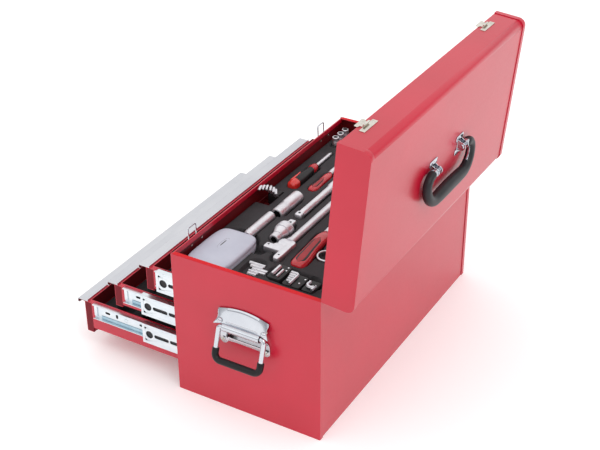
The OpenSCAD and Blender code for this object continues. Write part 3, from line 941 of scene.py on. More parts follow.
@dataclass(frozen=True)
class Pocket:
    """Recess cut in foam along a line, with round ends and slightly sloped walls."""

    start: Flat
    end: Flat
    half: float
    depth: float
    wall: float = 2.4

    def sink(self, x: float, y: float) -> float:
        """Depth of the recess at a point of the foam's top."""
        (ax, ay), (bx, by) = self.start, self.end
        run_x, run_y = bx - ax, by - ay
        span = max(run_x ** 2 + run_y ** 2, 1e-6)
        t = min(1.0, max(0.0, ((x - ax) * run_x + (y - ay) * run_y) / span))
        away = math.hypot(x - ax - t * run_x, y - ay - t * run_y)
        share = min(1.0, max(0.0, (self.half - away) / self.wall))
        return self.depth * share * share * (3 - 2 * share)


@dataclass
class FoamInsert:
    """Foam sheet whose top follows the recesses cut in it."""

    name: str
    node: str
    body: str
    finish: Finish
    low: Point
    high: Point
    pockets: tuple[Pocket, ...]
    gap: tuple[float, float, float, float] | None = None
    pitch: float = 2.0
    rim: float = 1.6

    def cut_away(self, x: float, y: float) -> bool:
        """Whether the sheet is cut right through at a point."""
        if self.gap is None:
            return False
        x0, y0, x1, y1 = self.gap
        return x0 < x < x1 and y0 < y < y1

    def height(self, x: float, y: float) -> float:
        """Height of the sheet's top at a point, with worn-round outer rims."""
        edge = min(x - self.low[0], self.high[0] - x, y - self.low[1], self.high[1] - y)
        drop = self.rim * max(0.0, 1 - edge / (2 * self.rim)) ** 2
        sink = max((pocket.sink(x, y) for pocket in self.pockets), default=0.0)
        return max(self.low[2] + 1.5, self.high[2] - max(sink, drop))

    def build(self) -> bpy.types.Object:
        """Builds the sheet in place of its CAD node."""
        nx = round((self.high[0] - self.low[0]) / self.pitch)
        ny = round((self.high[1] - self.low[1]) / self.pitch)
        xs = [self.low[0] + (self.high[0] - self.low[0]) * i / nx for i in range(nx + 1)]
        ys = [self.low[1] + (self.high[1] - self.low[1]) * j / ny for j in range(ny + 1)]
        verts: list[Point] = [(x, y, self.height(x, y)) for x in xs for y in ys]
        verts += [(x, y, self.low[2]) for x in xs for y in ys]
        under = len(xs) * len(ys)
        kept = {
            (i, j) for i in range(nx) for j in range(ny)
            if not self.cut_away((xs[i] + xs[i + 1]) / 2, (ys[j] + ys[j + 1]) / 2)
        }
        faces: list[tuple[int, ...]] = []
        for i, j in kept:
            corners = [(i, j), (i + 1, j), (i + 1, j + 1), (i, j + 1)]
            ring = [a * len(ys) + b for a, b in corners]
            faces.append(tuple(ring))
            faces.append(tuple(under + v for v in reversed(ring)))
            for k, beyond in enumerate(((i, j - 1), (i + 1, j), (i, j + 1), (i - 1, j))):
                if beyond not in kept:
                    p, q = ring[k], ring[(k + 1) % 4]
                    faces.append((q, p, p + under, q + under))
        used = sorted({v for face in faces for v in face})
        number = {v: i for i, v in enumerate(used)}
        shape = Shape().add(
            [verts[v] for v in used], [tuple(number[v] for v in face) for face in faces]
        )
        made = piece(self.name, shape, self.body, self.finish, smooth_deg=60.0)
        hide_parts(self.node)
        return made


@dataclass
class Drawers:
    """Drawers with aluminium pulls, foam inserts and their slides."""

    width: float = 475.0
    depth: float = 212.0
    front_gap: float = 13.0
    floors: tuple[float, float, float] = (38.0, 104.0, 156.0)
    front_lows: tuple[float, float, float] = (29.0, 100.0, 152.0)
    mid_fronts: tuple[float, float, float] = (-191.5, -190.0, -158.0)
    liner_drop: float = 20.0
    wall: float = 1.0
    paint: float = 0.28
    fold_reach: float = 26.0
    slide_drop: float = 11.5
    slide_inset: float = 20.0
    inner_x: Flat = (237.5, 244.0)
    mid_web_x: float = 249.5

    def lining(self, level: Level) -> None:
        """Builds the folded red lip that fills the aluminium pull's hook, in the darkened enamel as
        painted shade.
        """
        top, skin = level.value
        hook = [(4.8, -1.05), (-11.4, -1.05), (-12.6, -1.8), (-12.95, -3.0), (-12.95, -5.95),
                (-10.9, -5.95), (-10.9, -5.1), (-12.0, -5.1), (-12.0, -3.2), (-11.2, -2.0),
                (4.8, -2.0)]
        half = self.width / 2 - 0.2
        rings = [[(x, skin + y, top + z) for y, z in hook] for x in (-half, half)]
        piece(f"pull_lining_{level.word}", loft(rings), f"drawer_{level.word}", INNER_SHADE_ENAMEL)

    def folds(self, level: Level, index: int) -> None:
        """Builds the front's closed ends and its bottom fold, in deep red as painted shade."""
        top, skin = level.value
        floor, low = self.floors[index], self.front_lows[index]
        half = self.width / 2
        caps = Shape()
        for side in Side:
            x0, x1 = sorted((side.value * (half - 0.05), side.value * (half - self.wall)))
            caps.join(slab((x0, skin + 0.3, low + 0.3), (x1, skin + self.front_gap, top - 1.2)))
            # The bottom fold runs back under the box and rises to its floor
            tall = floor - low - 0.1
            start, under, roof = self.wall + 0.3, low + 0.15, floor - 0.15
            fold = [(start, under), (6.5 + tall * 0.6, under), (13 + tall, roof), (start, roof)]
            ends = (side.value * (half - 1.1), side.value * (half - self.fold_reach))
            caps.join(loft([[(x, skin + y, z) for y, z in fold] for x in ends]))
        piece(f"front_folds_{level.word}", caps, f"drawer_{level.word}", FOLD_SHADE_ENAMEL)

    def inner_paint(self, level: Level) -> None:
        """Lays painted shade, a thin dark red skin, on the four walls inside the box, from the insert
        to the rim.
        """
        top, skin = level.value
        low, high = top - self.liner_drop, top + 4.9
        half, face = self.width / 2 - self.wall, skin + self.front_gap + self.wall
        layers = Shape()
        for side in Side:
            x0, x1 = sorted((side.value * (half - 0.02), side.value * (half - self.paint - 0.02)))
            layers.join(slab((x0, face + 0.05, low), (x1, face + self.depth - 2.15, high)))
        for y in (face + 0.02, face + self.depth - 2.3):
            layers.join(slab((-half + 0.3, y, low), (half - 0.3, y + self.paint, high)))
        piece(f"drawer_inner_paint_{level.word}", layers, f"drawer_{level.word}", INNER_SHADE_ENAMEL)

    def insert(self, level: Level, index: int) -> None:
        """Builds the drawer's foam insert with its cut recesses."""
        top, skin = level.value
        y0 = skin + self.front_gap + 1
        half = self.width / 2 - 1
        low = (-half, y0, self.floors[index] + 1)
        high = (half, y0 + self.depth - 2, top - self.liner_drop)
        deep = min(14.0, (high[2] - low[2]) * 0.6)
        pockets = []
        for k in range(9):
            # Spanner recesses, side by side, with a round notch for each jaw
            x = -205 + 21.0 * k
            reach = 62 + 11 * k
            pockets += [
                Pocket((x, y0 + 22), (x, y0 + 22 + reach), 5.0 + 0.3 * k, deep * 0.6),
                Pocket((x, y0 + 20), (x, y0 + 20.5), 8.5, deep * 0.7),
                Pocket((x, y0 + 24 + reach), (x, y0 + 24.5 + reach), 8.5 + 0.25 * k, deep * 0.7),
            ]
        for k in range(6):
            # Round recesses in two rows at the right
            for row, radius in ((0, 10.0 + 1.3 * k), (1, 8.0 + 0.8 * k)):
                x, y = 8 + 38.0 * k, y0 + 40 + 46 * row
                pockets.append(Pocket((x, y), (x + 0.5, y), radius, deep))
        pockets.append(Pocket((10, y0 + 150), (200, y0 + 150), 13.0, deep))
        FoamInsert(
            f"drawer_insert_{level.word}", f"drawer_liner_{level.word}", f"drawer_{level.word}",
            INSERT_FOAM, low, high, tuple(pockets), pitch=3.5,
        ).build()

    def rails(self, level: Level) -> None:
        """Builds raceways, end lips and catch slots on the drawer's two inner rails, the slots as
        painted shade.
        """
        top, skin = level.value
        z0, y0 = top - self.slide_drop, skin + self.slide_inset
        races, grooves, marks = Shape(), Shape(), Shape()
        for side in Side:
            s = side.value
            web = s * (self.inner_x[0] + 1.2)
            for dz, tall, made in ((-8.8, 3.1, grooves), (10.6, 1.3, races)):
                # Rolled raceway along the rail
                path = [(web + s * 0.5, y0 + y, z0 + dz) for y in (14, 15, 198, 200)]
                made.join(sweep(path, [superellipse(0.7, tall, 2.6, 20)] * 4, (0, 0, 1)))
            # Two catch slots, and an upright one for the release lever, drawn as dark patches of
            # painted shade
            for y, w, h in ((26, 4.6, 1.9), (44, 2.0, 3.4), (92, 4.6, 1.9)):
                outline = superellipse(w, h, 3.0, 24)
                marks.join(loft([
                    [(web + s * t, y0 + y + a, z0 + 2 + b) for a, b in outline] for t in (-0.1, 0.25)
                ]))
            races.join(dome((web, y0 + 62, z0 + 1), (s, 0, 0), 3.2, 1.2))
            x0, x1 = sorted((web, web + s * 1.6))
            races.join(brick((x0, y0 + 0.2, z0 - 9.5), (x1, y0 + 6.0, z0 + 9.5), 6))
        piece(f"rail_raceways_{level.word}", races, f"drawer_{level.word}", ZINC)
        piece(f"rail_grooves_{level.word}", grooves, f"drawer_{level.word}", BLUE_ZINC)
        piece(f"rail_catches_{level.word}", marks, f"drawer_{level.word}", RECESS_SHADE)

    def members(self, level: Level, index: int) -> None:
        """Builds ball cages and rolled beads on the slides' two middle members."""
        z0, mid_y = level.value[0] - self.slide_drop, self.mid_fronts[index]
        cages, beads = Shape(), Shape()
        for side in Side:
            s = side.value
            x0, x1 = sorted((s * 244.7, s * 247.9))
            cages.join(brick((x0, mid_y + 2.0, z0 - 14.5), (x1, mid_y + 104.0, z0 + 14.5), 12))
            for dz in (-14.2, 14.2):
                face = s * (self.mid_web_x + 0.02)
                path = [(face, mid_y + y, z0 + dz) for y in (3, 5, 202, 205)]
                beads.join(sweep(path, [superellipse(1.2, 0.45, 2.4, 12)] * 4, (s, 0, 0)))
        piece(f"ball_cages_{level.word}", cages, f"slide_mid_{level.word}", BLACK_GRIP)
        piece(f"member_beads_{level.word}", beads, f"slide_mid_{level.word}", ZINC)

    def build(self) -> None:
        """Dresses every drawer and slide and adds their details."""
        for index, level in enumerate(Level):
            dress(f"drawer_box_{level.word}", RED_ENAMEL, 0.3)
            dress(f"drawer_front_{level.word}", RED_ENAMEL, 0.5)
            dress(f"drawer_pull_{level.word}", ANODISED, 0.25)
            for part in ("slide_inner", "slide_mid", "slide_outer"):
                dress(f"{part}_{level.word}", ZINC, 0.3)
            self.lining(level)
            self.folds(level, index)
            self.inner_paint(level)
            self.insert(level, index)
            self.rails(level)
            self.members(level, index)


@dataclass
class ToolTray:
    """Foam tray with its recesses and every tool that lies in it."""

    # Height of the foam's top, where most tools have their middle line
    bed: float = 219.5
    low: Point = (-241.0, -119.5, 202.1)
    high: Point = (247.0, 119.5, 219.5)
    # Gap in the foam's front edge for the block of standing keys
    front_gap: tuple[float, float, float, float] = (-14.0, -125.0, 36.0, -93.0)
    # From the crown of a ratchet's handle down to its middle line
    grip_drop: float = 7.5
    plaque: Flat = (175.0, -86.0)

    def foam(self) -> None:
        """Builds the foam with a fitted recess under each tool."""
        cuts = [
            ((66, -74), (126, -74), 9.5, 9), ((-2, -67.5), (45, -67.5), 12.5, 11.5),
            ((86, -34), (88, -34), 16, 15), ((72, -34), (112, -34), 11, 11),
            ((-145, -8), (120, -8), 7.6, 7), ((122, -10), (160, -4), 11, 9),
            ((124, -20), (142, -28), 10, 9), ((-124, -35), (38, -35), 9.2, 9),
            ((-20, 26), (70, 26), 8, 9), ((75, 26.5), (150, 31), 14.5, 9),
            ((-46, 26), (-45, 26), 22, 11), ((-96, -61), (-47, -61), 9.5, 8.5),
            ((-147, -61), (-100, -61), 6, 6), ((-163, -61), (-162, -61), 16, 9),
            ((-106, -93), (-41, -93), 11.5, 11), ((-165, -93), (-116, -93), 5, 4.5),
            ((-231, -104), (-196, -104), 8.5, 8), ((119, 57.5), (119.5, 57.5), 17.5, 8),
            ((151, -38), (153, -38), 12, 12), ((150, -82), (220, -82), 37, 12.2),
            ((188, -20), (208, -20), 16, 7), ((192, 22), (194, 70), 21, 8),
            ((-60, 62), (60, 62), 9, 9), ((-200, 22), (-110, 22), 8, 8),
            ((-205, 60), (-110, 60), 10, 9), ((-200, 96), (40, 96), 7, 8),
        ]
        pockets = tuple(Pocket(a, b, half, depth) for a, b, half, depth in cuts)
        FoamInsert(
            "cut_foam_tray", "foam_tray", "tray", FOAM, self.low, self.high, pockets, self.front_gap
        ).build()

    def grey_case(self) -> None:
        """Builds the lidded plastic box with its seam, rim and plain oval plaque."""
        outline = superellipse(1.0, 1.0, 5.2, 72)

        def ring(inset: float, z: float) -> list[Point]:
            """One level of the box, wider towards its near end."""
            made = []
            for u, v in outline:
                spread = 34.4 + 0.4 * u - 0.9 * u * u
                made.append((185 + u * (53.2 - inset), -81.8 + v * (spread + 0.6 - inset), z))
            return made

        lower = loft([ring(3, 207), ring(1.2, 208), ring(0.4, 210), ring(0.2, 219.6),
                      ring(0.6, 220.0)])
        upper = loft([ring(0.9, 220.3), ring(0.2, 220.6), ring(0.0, 224.6), ring(0.5, 226.0),
                      ring(1.6, 227.2), ring(3.4, 227.9), ring(8, 228.4), ring(18, 228.8),
                      ring(32, 229.0)])
        box = piece("accessory_box_lower", lower, "tray", GREY_ABS, smooth_deg=60)
        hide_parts("accessory_case")
        piece("accessory_box_upper", upper, "tray", GREY_ABS, smooth_deg=60)
        rim = [superellipse(w, h, 2.4, 40) for w, h in ((15.5, 4.6), (15.0, 4.1), (13.6, 2.9))]
        px, py = self.plaque
        plaque = [[(px + x, py + y, z) for x, y in part]
                  for part, z in zip(rim, (228.5, 229.0, 228.85))]
        piece("box_plaque_rim", loft(plaque), "tray", PLAQUE_GREY)
        bar = [[(px + x, py + y, z) for x, y in superellipse(w, h, 2.6, 24)]
               for w, h, z in ((9.0, 1.3, 228.6), (8.6, 1.0, 229.0))]
        piece("box_plaque_bar", loft(bar), "tray", DARK_PLAQUE)

    def handle(
        self, name: str, spine: Sequence[tuple[float, float, float, float]], top: float
    ) -> tuple[Shape, Shape, Shape]:
        """Shapes a ratchet handle, its dark inlay and the inlay's raised border.

        Args:
            name: Node that the handle stands for.
            spine: Stations of (x, y, half width, half height) from butt to neck.
            top: Height of the handle's crown.

        Returns:
            The handle, the inlay and the border.
        """
        LOG.info("shaping %s", name)
        rings, pad, border = [], [], []
        for x, y, w, h in spine:
            section = superellipse(w, h, 2.6, 40)
            rings.append([(x, y + a, top - self.grip_drop + b) for a, b in section])
        inner = spine[2:-3]
        for k, (x, y, w, h) in enumerate(inner):
            share = math.sqrt(max(0.0, 1 - abs(2 * k / (len(inner) - 1) - 1) ** 6))
            crown = top - self.grip_drop + h
            for made, scale, proud in ((pad, 0.44, 0.30), (border, 0.62, 0.08)):
                half = max(0.6, w * scale * share)
                made.append([(x, y + a, crown - 0.5 + b)
                             for a, b in superellipse(half, 0.5 + proud, 3.0, 24)])
        return loft(rings), loft(pad), loft(border)

    def ratchets(self) -> None:
        """Builds both ratchets with moulded handles, necks and reversible heads."""
        large = [(166, 32.6, 5.5, 4.2), (164.5, 32.4, 9.2, 6.2), (160, 32.0, 12.0, 7.2),
                 (152, 31.4, 13.0, 7.6), (142, 30.6, 12.8, 7.6), (130, 29.4, 11.8, 7.4),
                 (118, 28.2, 11.0, 7.3), (106, 27.3, 10.6, 7.2), (94, 26.8, 10.6, 7.2),
                 (84, 26.4, 10.6, 7.1), (76, 26.1, 10.2, 7.0), (69, 26.0, 8.6, 6.4),
                 (64.5, 26.0, 6.6, 5.2)]
        small = [(-40, -61.0, 4.0, 3.4), (-41.2, -61.0, 6.2, 5.0), (-45, -61.0, 7.9, 5.8),
                 (-52, -61.0, 8.0, 6.0), (-62, -61.0, 7.4, 6.0), (-73, -61.0, 6.5, 5.8),
                 (-84, -61.0, 6.3, 5.6), (-93, -61.0, 6.8, 5.6), (-99, -61.0, 6.2, 5.2),
                 (-103, -61.0, 4.6, 4.2)]
        for word, spine, top, head, neck in (
            ("large", large, 225.3, (-46.0, 26.0, 20.0, 18.0), (64, -30, 6.0)),
            ("small", small, 224.0, (-163.0, -61.0, 14.0, 14.0), (-103, -152, 4.5)),
        ):
            grip, pad, border = self.handle(f"ratchet_{word}", spine, top)
            made = piece(f"ratchet_grip_{word}", grip, "tray", RED_HANDLE, smooth_deg=70)
            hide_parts(f"ratchet_{word}")
            piece(f"ratchet_inlay_{word}", pad, "tray", RED_INLAY, smooth_deg=60)
            piece(f"ratchet_border_{word}", border, "tray", SOFT_BLACK, smooth_deg=60)
            x0, x1, radius = neck
            y, z = spine[-1][1], self.bed
            shank = turned([(x0, radius * 0.9), (x0 - 2, radius), (x0 - 5, radius * 0.8),
                            (x0 - 7, radius), ((x0 + x1) / 2, radius * 0.86), (x1 + 6, radius),
                            (x1, radius * 1.1)], y, z)
            hx, hy, hr, tall = head
            # Head: a flattened round body with a rounded rim
            ring = [(hr * 0.8, -0.5), (hr * 0.96, -0.42), (hr, -0.25), (hr, 0.2),
                    (hr * 0.95, 0.33), (hr * 0.82, 0.4), (hr * 0.5, 0.4)]
            body = lathe([(self.bed - 1.5 + tall * k, r) for r, k in ring], 48)
            shank.join(body, Matrix.Translation((hx, hy, 0)))
            piece(f"ratchet_head_{word}", shank, "tray", TOOL_STEEL, smooth_deg=45)
            crown = self.bed - 1.5 + tall * 0.4
            knob = lathe([(crown, hr * 0.46), (crown + 0.8, hr * 0.44), (crown + 1.0, hr * 0.38),
                          (crown + 0.5, hr * 0.3)], 32)
            lever = brick((-hr * 0.1, -hr * 0.42, crown), (hr * 0.1, hr * 0.42, crown + 1.4), 4)
            knob.join(lever)
            moved = Shape().join(knob, Matrix.Translation((hx, hy, 0)))
            piece(f"ratchet_dial_{word}", moved, "tray", SOFT_BLACK, smooth_deg=45)

    def screwdriver(self) -> None:
        """Builds the screwdriver: red butt and collar, black waist and bright blade."""
        y, z = -93.0, self.bed + 1

        def fluted(stations: Sequence[Flat], depth: float) -> Shape:
            """Six-flute handle section along X."""
            rings = []
            for x, r in stations:
                ring = []
                for k in range(60):
                    a = math.tau * k / 60
                    radius = r * (1 - depth * (0.5 + 0.5 * math.cos(6 * a)))
                    ring.append((x, y + radius * math.cos(a), z + radius * math.sin(a)))
                rings.append(ring)
            return loft(rings)

        butt = fluted([(-31, 3.6), (-31.6, 6.2), (-33.5, 8.2), (-37, 9.2), (-44, 9.3), (-48, 9.0),
                       (-48.6, 8.2)], 0.10)
        waist = fluted([(-48.2, 8.2), (-49, 9.1), (-58, 9.2), (-70, 8.8), (-82, 7.8), (-91, 7.0),
                        (-97.0, 6.6)], 0.08)
        collar = fluted([(-96.4, 6.3), (-97.2, 7.0), (-101, 7.4), (-107, 7.0), (-111, 5.4),
                         (-114.2, 4.2), (-115, 3.4)], 0.04)
        # Red flute that runs from the cap into the dark waist
        flute = [(x, y - 4.4, z + 7.6 - 0.02 * abs(x + 48)) for x in (-40, -48, -56, -64, -70)]
        sizes = [superellipse(w, 1.6, 2.2, 16) for w in (2.0, 3.0, 2.6, 1.7, 0.5)]
        piece("driver_flute", sweep(flute, sizes, (0, -0.5, 0.87)), "tray", BRIGHT_RED)
        made = piece("driver_butt", butt, "tray", BRIGHT_RED, smooth_deg=60)
        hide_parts("screwdriver")
        piece("driver_waist", waist, "tray", SOFT_BLACK, smooth_deg=60)
        piece("driver_collar", collar, "tray", RED_HANDLE, smooth_deg=60)
        piece("driver_blade", turned([(-114, 3), (-158, 3), (-160, 2.8), (-163, 2.0), (-166, 0.9)],
                                     y, z, 24), "tray", TOOL_STEEL)

    def drive_parts(self) -> None:
        """Builds extensions, the deep socket, the adapter and the flexible-head bar."""
        z = self.bed
        metal = Shape()
        # Short extension with a groove near each end
        metal.join(turned([(59, 6.2), (59.6, 7.4), (60.6, 8), (64, 8), (64.4, 7.5), (65.2, 7.5),
                           (65.6, 8), (112, 8), (112.5, 7.4), (113.5, 7.4), (114, 8), (125, 8),
                           (125.8, 7.2), (130, 7.0)], -74, z))
        # Deep socket, waisted at its drive end
        metal.join(turned([(54, 8.6), (53.2, 9.8), (51, 10.2), (44, 10.2), (43.2, 9.6),
                           (42.2, 9.6), (41.4, 10.2), (30, 10.2), (28.4, 9.7), (26.6, 9.7),
                           (25, 10.5), (-8, 10.5), (-10.8, 10.1), (-12, 9.0)], -67.5, z + 1))
        # Stepped adapter
        metal.join(turned([(118, 7.0), (117.2, 8.4), (113, 8.8), (108.6, 8.8), (108, 8.0),
                           (106.8, 8.0), (106.2, 9.2), (103, 9.9), (98, 12.2), (96, 12.8),
                           (95.4, 12.0), (94.4, 12.0), (93.8, 13.6), (91, 14), (85, 14),
                           (84.4, 13.3), (83.4, 13.3), (82.8, 13.9), (79.6, 13.2), (78.2, 11.2)],
                          -34, z))
        # Long extension: its thin length, then its thick end
        metal.join(turned([(-57, 6.2), (-50, 6), (33, 6), (34.6, 5.4)], -35, z + 1))
        metal.join(turned([(-130, 5.6), (-129, 7.2), (-127, 7.5), (-62, 7.5), (-57, 6)],
                          -35, z + 1))
        # Bar of the flexible head
        metal.join(turned([(-150, 4.8), (-149, 5.8), (-147, 6), (-120, 6), (-119.5, 5.5),
                           (-118, 5.5), (-117.5, 6), (106, 6), (112, 7.2), (116, 7.6)],
                          -8, z + 1))
        made = piece("turned_drive_parts", metal, "tray", TOOL_STEEL, smooth_deg=28)
        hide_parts("drive_tools")
        ends = Shape()
        ends.join(brick((60, -39.5, z - 5.5), (79.5, -28.5, z + 5.5), 8))
        ends.join(brick((34, -40.8, z - 4.8), (46, -29.2, z + 6.8), 8))
        # Yoke of the flexible head: a shouldered body, two cheeks and the cross drive
        ends.join(brick((113, -21.5, 213.2), (133, 4.8, 226.2), 3))
        ends.join(brick((124, -7.2, 213.4), (168, 4.4, 226.0), 4.5))
        ends.join(brick((127, -24.8, 213.4), (147, 1.0, 225.6), 3))
        ends.join(brick((133.5, -35.5, 214.4), (146.5, -12.0, 225.2), 7))
        piece("square_drives", ends, "tray", TOOL_STEEL, bevel_mm=0.5)
        # Detent balls drawn dark, as painted shade of the hole round each
        dots = Shape()
        for x, y, top in ((69, -34, z + 5.5), (40, -35, z + 6.8), (158, -1, 225.6),
                          (139, -30, 224.8)):
            dots.join(dome((x, y, top - 0.05), (0, 0, 1), 2.1, 0.7))
        piece("detent_balls", dots, "tray", RECESS_SHADE)
        # Dark discs in the socket mouths are painted shade of their hollows
        hollows = Shape()
        for x, y, r, h in ((54.05, -67.5, 7.2, z + 1), (118.05, -34, 5.6, z)):
            hollows.join(turned([(x - 6, r), (x, r)], y, h, 6))
        piece("socket_hollows", hollows, "tray", RECESS_SHADE)

    def bit_rods(self) -> Shape:
        """Shapes the fan of hexagon rods, two short bits and the rods in the first holder."""
        z, steel = self.bed, Shape()
        upright = Matrix.Rotation(math.pi / 2, 4, "Z")
        for x, y0 in ((185, -34), (191.5, -28.5), (198, -22), (204.5, -24), (211, -22)):
            rod = turned([(-7, 1.6), (-7.6, 2.4), (y0 + 0.6, 2.4), (y0, 1.6)], 0, 0, 6)
            steel.join(rod, Matrix.Translation((x, 0, z - 2)) @ upright)
        for x in (200.5, 206.5):
            steel.join(brick((x - 2.4, -5.5, z - 2), (x + 2.4, 5.5, z + 3), 6))
        steel.join(turned([(181, 2.0), (181.6, 3), (203.4, 3), (204, 2.0)], 16, z + 4.9, 6))
        return steel.join(turned([(186, 1.4), (186.5, 2), (206, 2)], 24, z + 3.9, 6))

    def bent_keys(self) -> Shape:
        """Shapes the nested hexagon keys in their holder and the hook-shaped key beside them."""
        z, steel = self.bed + 5.4, Shape()
        for k in range(5):
            # Long arms lie side by side, short arms bend over the holder
            x = 186.5 + 5.4 * k
            bend = arc((x + 4.2, 46.0), 4.2, 180, 90, 7)
            path = [(x, 37.5 + 1.2 * k, z), *((a, b, z) for a, b in bend), (x + 6.0, 50.2, z)]
            steel.join(sweep(path, [circle(1.75, 6)] * len(path), (0, 0, 1)))
        spine = [(190.5, 50, z - 0.3), (214.5, 50, z - 0.3)]
        steel.join(sweep(spine, [circle(2.2, 6)] * 2, (0, 0, 1)))
        hook = [(195, 73.4), *arc((201.5, 79.2), 6.0, -120, 90, 12), (213, 85.0)]
        path = [(x, y, z - 0.1) for x, y in hook]
        return steel.join(sweep(path, [circle(2.4, 6)] * len(path), (0, 0, 1)))

    def standing_keys(self) -> Shape:
        """Shapes the keys that stand fanned out of their block, short arms bent over."""
        steel = Shape()
        tips = ((25, -113), (20, -110.5), (16, -107), (14, -102), (14.5, -96.5), (16.5, -91.5))
        for k, (tx, ty) in enumerate(tips):
            foot = Vector((-1.0 + 1.4 * k, -112 + 3 * k, 220))
            tip = Vector((tx, ty, 243.8 - 0.9 * k))
            arm = tip + Vector((8.4, 1.0 + 0.9 * k, -2.6))
            bend = tip.lerp(arm, 0.3) + Vector((0, 0, 0.7))
            path = [tuple(v) for v in (foot, foot.lerp(tip, 0.5), tip, bend, arm)]
            steel.join(sweep(path, [circle(2.1, 6)] * len(path), (0, 1, 0)))
        return steel

    def wire_ring(self) -> Shape:
        """Shapes the plain ring that lies beside the large ratchet."""
        steps, radius = 40, 14.0
        turn = [math.tau * k / steps for k in range(steps + 1)]
        loop = [(119 + radius * math.cos(a), 57.5 + radius * math.sin(a), self.bed + 0.8)
                for a in turn]
        return sweep(loop, [circle(1.55, 12)] * len(loop), (0, 0, 1))

    def small_sets(self) -> None:
        """Builds the rods, keys, ring and small sockets with the blocks that hold them."""
        steel, holders, hollows = Shape(), Shape(), Shape()
        for part in (self.bit_rods(), self.bent_keys(), self.wire_ring()):
            steel.join(part)
        for x, y in ((176.4, 26.7), (184.2, 27.6), (190.4, 62.6), (202.9, 59.6)):
            steel.join(dome((x, y, 221.95), (0, 0, 1), 1.5, 0.6))
        for low, high in (((172, 8, 212), (210, 32, 222)), ((183, 36, 212), (215, 66, 222)),
                          ((186, 68, 212), (215, 88, 222)), ((-12, -114, 202.2), (6, -95, 222))):
            holders.join(brick(low, high, 7))
        # Small sockets stand on their rail, each with a dark disc in its mouth as painted shade of its
        # hollow
        holders.join(brick((-238, -108, 212), (-189, -100, 219), 9))
        socket = lathe([(219, 5.6), (219.6, 6), (225.6, 6), (226.4, 5.6), (227, 6),
                        (232.2, 6), (233, 5.5)], 32)
        for x in (-200, -217, -234):
            place = Matrix.Translation((x, -104, 0))
            steel.join(socket, place)
            hollows.join(lathe([(232.0, 4.2), (233.06, 4.2)], 6), place)
        steel.join(self.standing_keys())
        made = piece("steel_key_sets", steel, "tray", TOOL_STEEL, smooth_deg=28)
        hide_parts("small_tools")
        piece("key_holders", holders, "tray", SOFT_BLACK)
        piece("small_socket_hollows", hollows, "tray", RECESS_SHADE)

    def build(self) -> None:
        """Builds the foam and then tool after tool."""
        self.foam()
        self.grey_case()
        self.ratchets()
        self.screwdriver()
        self.drive_parts()
        self.small_sets()


# ---------------------------------------------------------------- studio


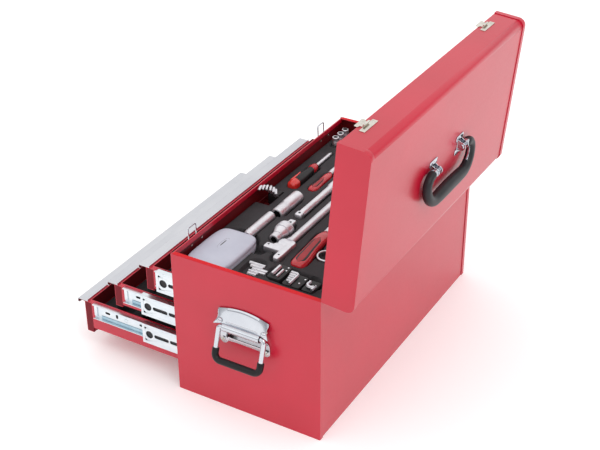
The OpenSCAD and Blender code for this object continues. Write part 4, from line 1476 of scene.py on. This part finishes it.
@dataclass
class Studio:
    """Pale floor, soft lights and the camera."""

    azimuth: float = 120.476
    elevation: float = 31.060
    roll: float = -0.357
    camera_m: Point = (1.4410, 0.7901, 1.1835)
    lens_mm: float = 73.73
    sensor_mm: float = 36.0
    target_m: Point = (0.0, 0.0, 0.2)
    floor_half_m: float = 12.0
    floor_glow: float = 0.12
    room_light: float = 1.12

    def camera(self) -> None:
        """Places the camera at the viewing angle."""
        az, el = math.radians(self.azimuth), math.radians(self.elevation)
        back = Vector((math.sin(az) * math.cos(el), -math.cos(az) * math.cos(el), math.sin(el)))
        right = (-back).cross(Vector((0, 0, 1))).normalized()
        up = right.cross(-back).normalized()
        turn = math.radians(self.roll)
        across = right * math.cos(turn) + up * math.sin(turn)
        above = up * math.cos(turn) - right * math.sin(turn)
        data = bpy.data.cameras.new("camera")
        data.lens = self.lens_mm
        data.sensor_width = self.sensor_mm
        data.sensor_fit = "HORIZONTAL"
        data.clip_end = 50.0
        camera = bpy.data.objects.new("camera", data)
        camera.matrix_world = (
            Matrix.Translation(self.camera_m)
            @ Matrix((across, above, back)).transposed().to_4x4()
        )
        bpy.context.scene.collection.objects.link(camera)
        bpy.context.scene.camera = camera

    def light(self, name: str, place: Point, size: float, watts: float) -> None:
        """Adds one soft square lamp that faces the chest's middle.

        Args:
            name: Name of the lamp.
            place: Where it stands, in metres.
            size: Length of its side, in metres.
            watts: Its power.
        """
        data = bpy.data.lights.new(name, "AREA")
        data.energy = watts
        data.size = size
        lamp = bpy.data.objects.new(name, data)
        aim = Vector(place) - Vector(self.target_m)
        turn = aim.to_track_quat("Z", "Y").to_matrix().to_4x4()
        lamp.matrix_world = Matrix.Translation(place) @ turn
        bpy.context.scene.collection.objects.link(lamp)

    def floor(self) -> None:
        """Lays a plain white floor that glows faintly, which keeps shadows soft."""
        size = self.floor_half_m
        mesh = bpy.data.meshes.new("floor")
        corners = [(-size, -size, 0), (size, -size, 0), (size, size, 0), (-size, size, 0)]
        mesh.from_pydata(corners, [], [(0, 1, 2, 3)])
        material = bpy.data.materials.new("white paper floor")
        material.use_nodes = True
        tree = material.node_tree
        tree.nodes.clear()
        shader = add_node(
            tree, "ShaderNodeBsdfPrincipled",
            {"Base Color": linear("FDFDFD"), "Roughness": 0.9, "Specular IOR Level": 0.1,
             "Emission Color": linear("FFFFFF"), "Emission Strength": self.floor_glow},
        )
        add_node(tree, "ShaderNodeOutputMaterial", links={"Surface": shader.outputs["BSDF"]})
        mesh.materials.append(material)
        floor = bpy.data.objects.new("floor", mesh)
        bpy.context.scene.collection.objects.link(floor)

    def world(self) -> None:
        """Fills the room with soft white light."""
        world = bpy.data.worlds.new("white room")
        world.use_nodes = True
        tree = world.node_tree
        tree.nodes.clear()
        # White walls and ceiling with a light grey band low on the walls, which gives the
        # bright plating something to reflect
        where = add_node(tree, "ShaderNodeTexCoord").outputs["Generated"]
        height = add_node(tree, "ShaderNodeSeparateXYZ", links={0: where}).outputs["Z"]
        wall = add_node(tree, "ShaderNodeValToRGB", links={"Fac": height})
        ramp = wall.color_ramp
        skirting, upper = ramp.elements[0], ramp.elements[1]
        skirting.position, skirting.color = 0.02, linear("DCDCDE")
        upper.position, upper.color = 0.34, linear("FFFFFF")
        ramp.elements.new(0.16).color = linear("A6A6AA")
        glow = add_node(
            tree, "ShaderNodeBackground", {"Strength": self.room_light},
            {"Color": wall.outputs["Color"]},
        )
        add_node(tree, "ShaderNodeOutputWorld", links={"Surface": glow.outputs["Background"]})
        bpy.context.scene.world = world

    def build(self) -> None:
        """Sets up the whole studio."""
        self.camera()
        self.floor()
        self.world()
        self.light("key", (0.9, 1.4, 2.2), 1.0, 9.0)
        self.light("fill", (2.2, -0.8, 1.4), 1.6, 2.0)
        bpy.context.scene.view_settings.view_transform = "Standard"


def main() -> None:
    """Builds the chest's looks, sub-assembly by sub-assembly."""
    logging.basicConfig(level=logging.INFO, format="%(name)s: %(message)s")
    assemblies = (
        ChestBody(), ChestLid(), SideHandle(Side.RIGHT), SideHandle(Side.LEFT), CarryHandle(),
        Latches(), Drawers(), ToolTray(), Studio(),
    )
    for part in assemblies:
        part.build()
        LOG.info("finished %s", type(part).__name__)


if __name__ == "__main__":
    main()
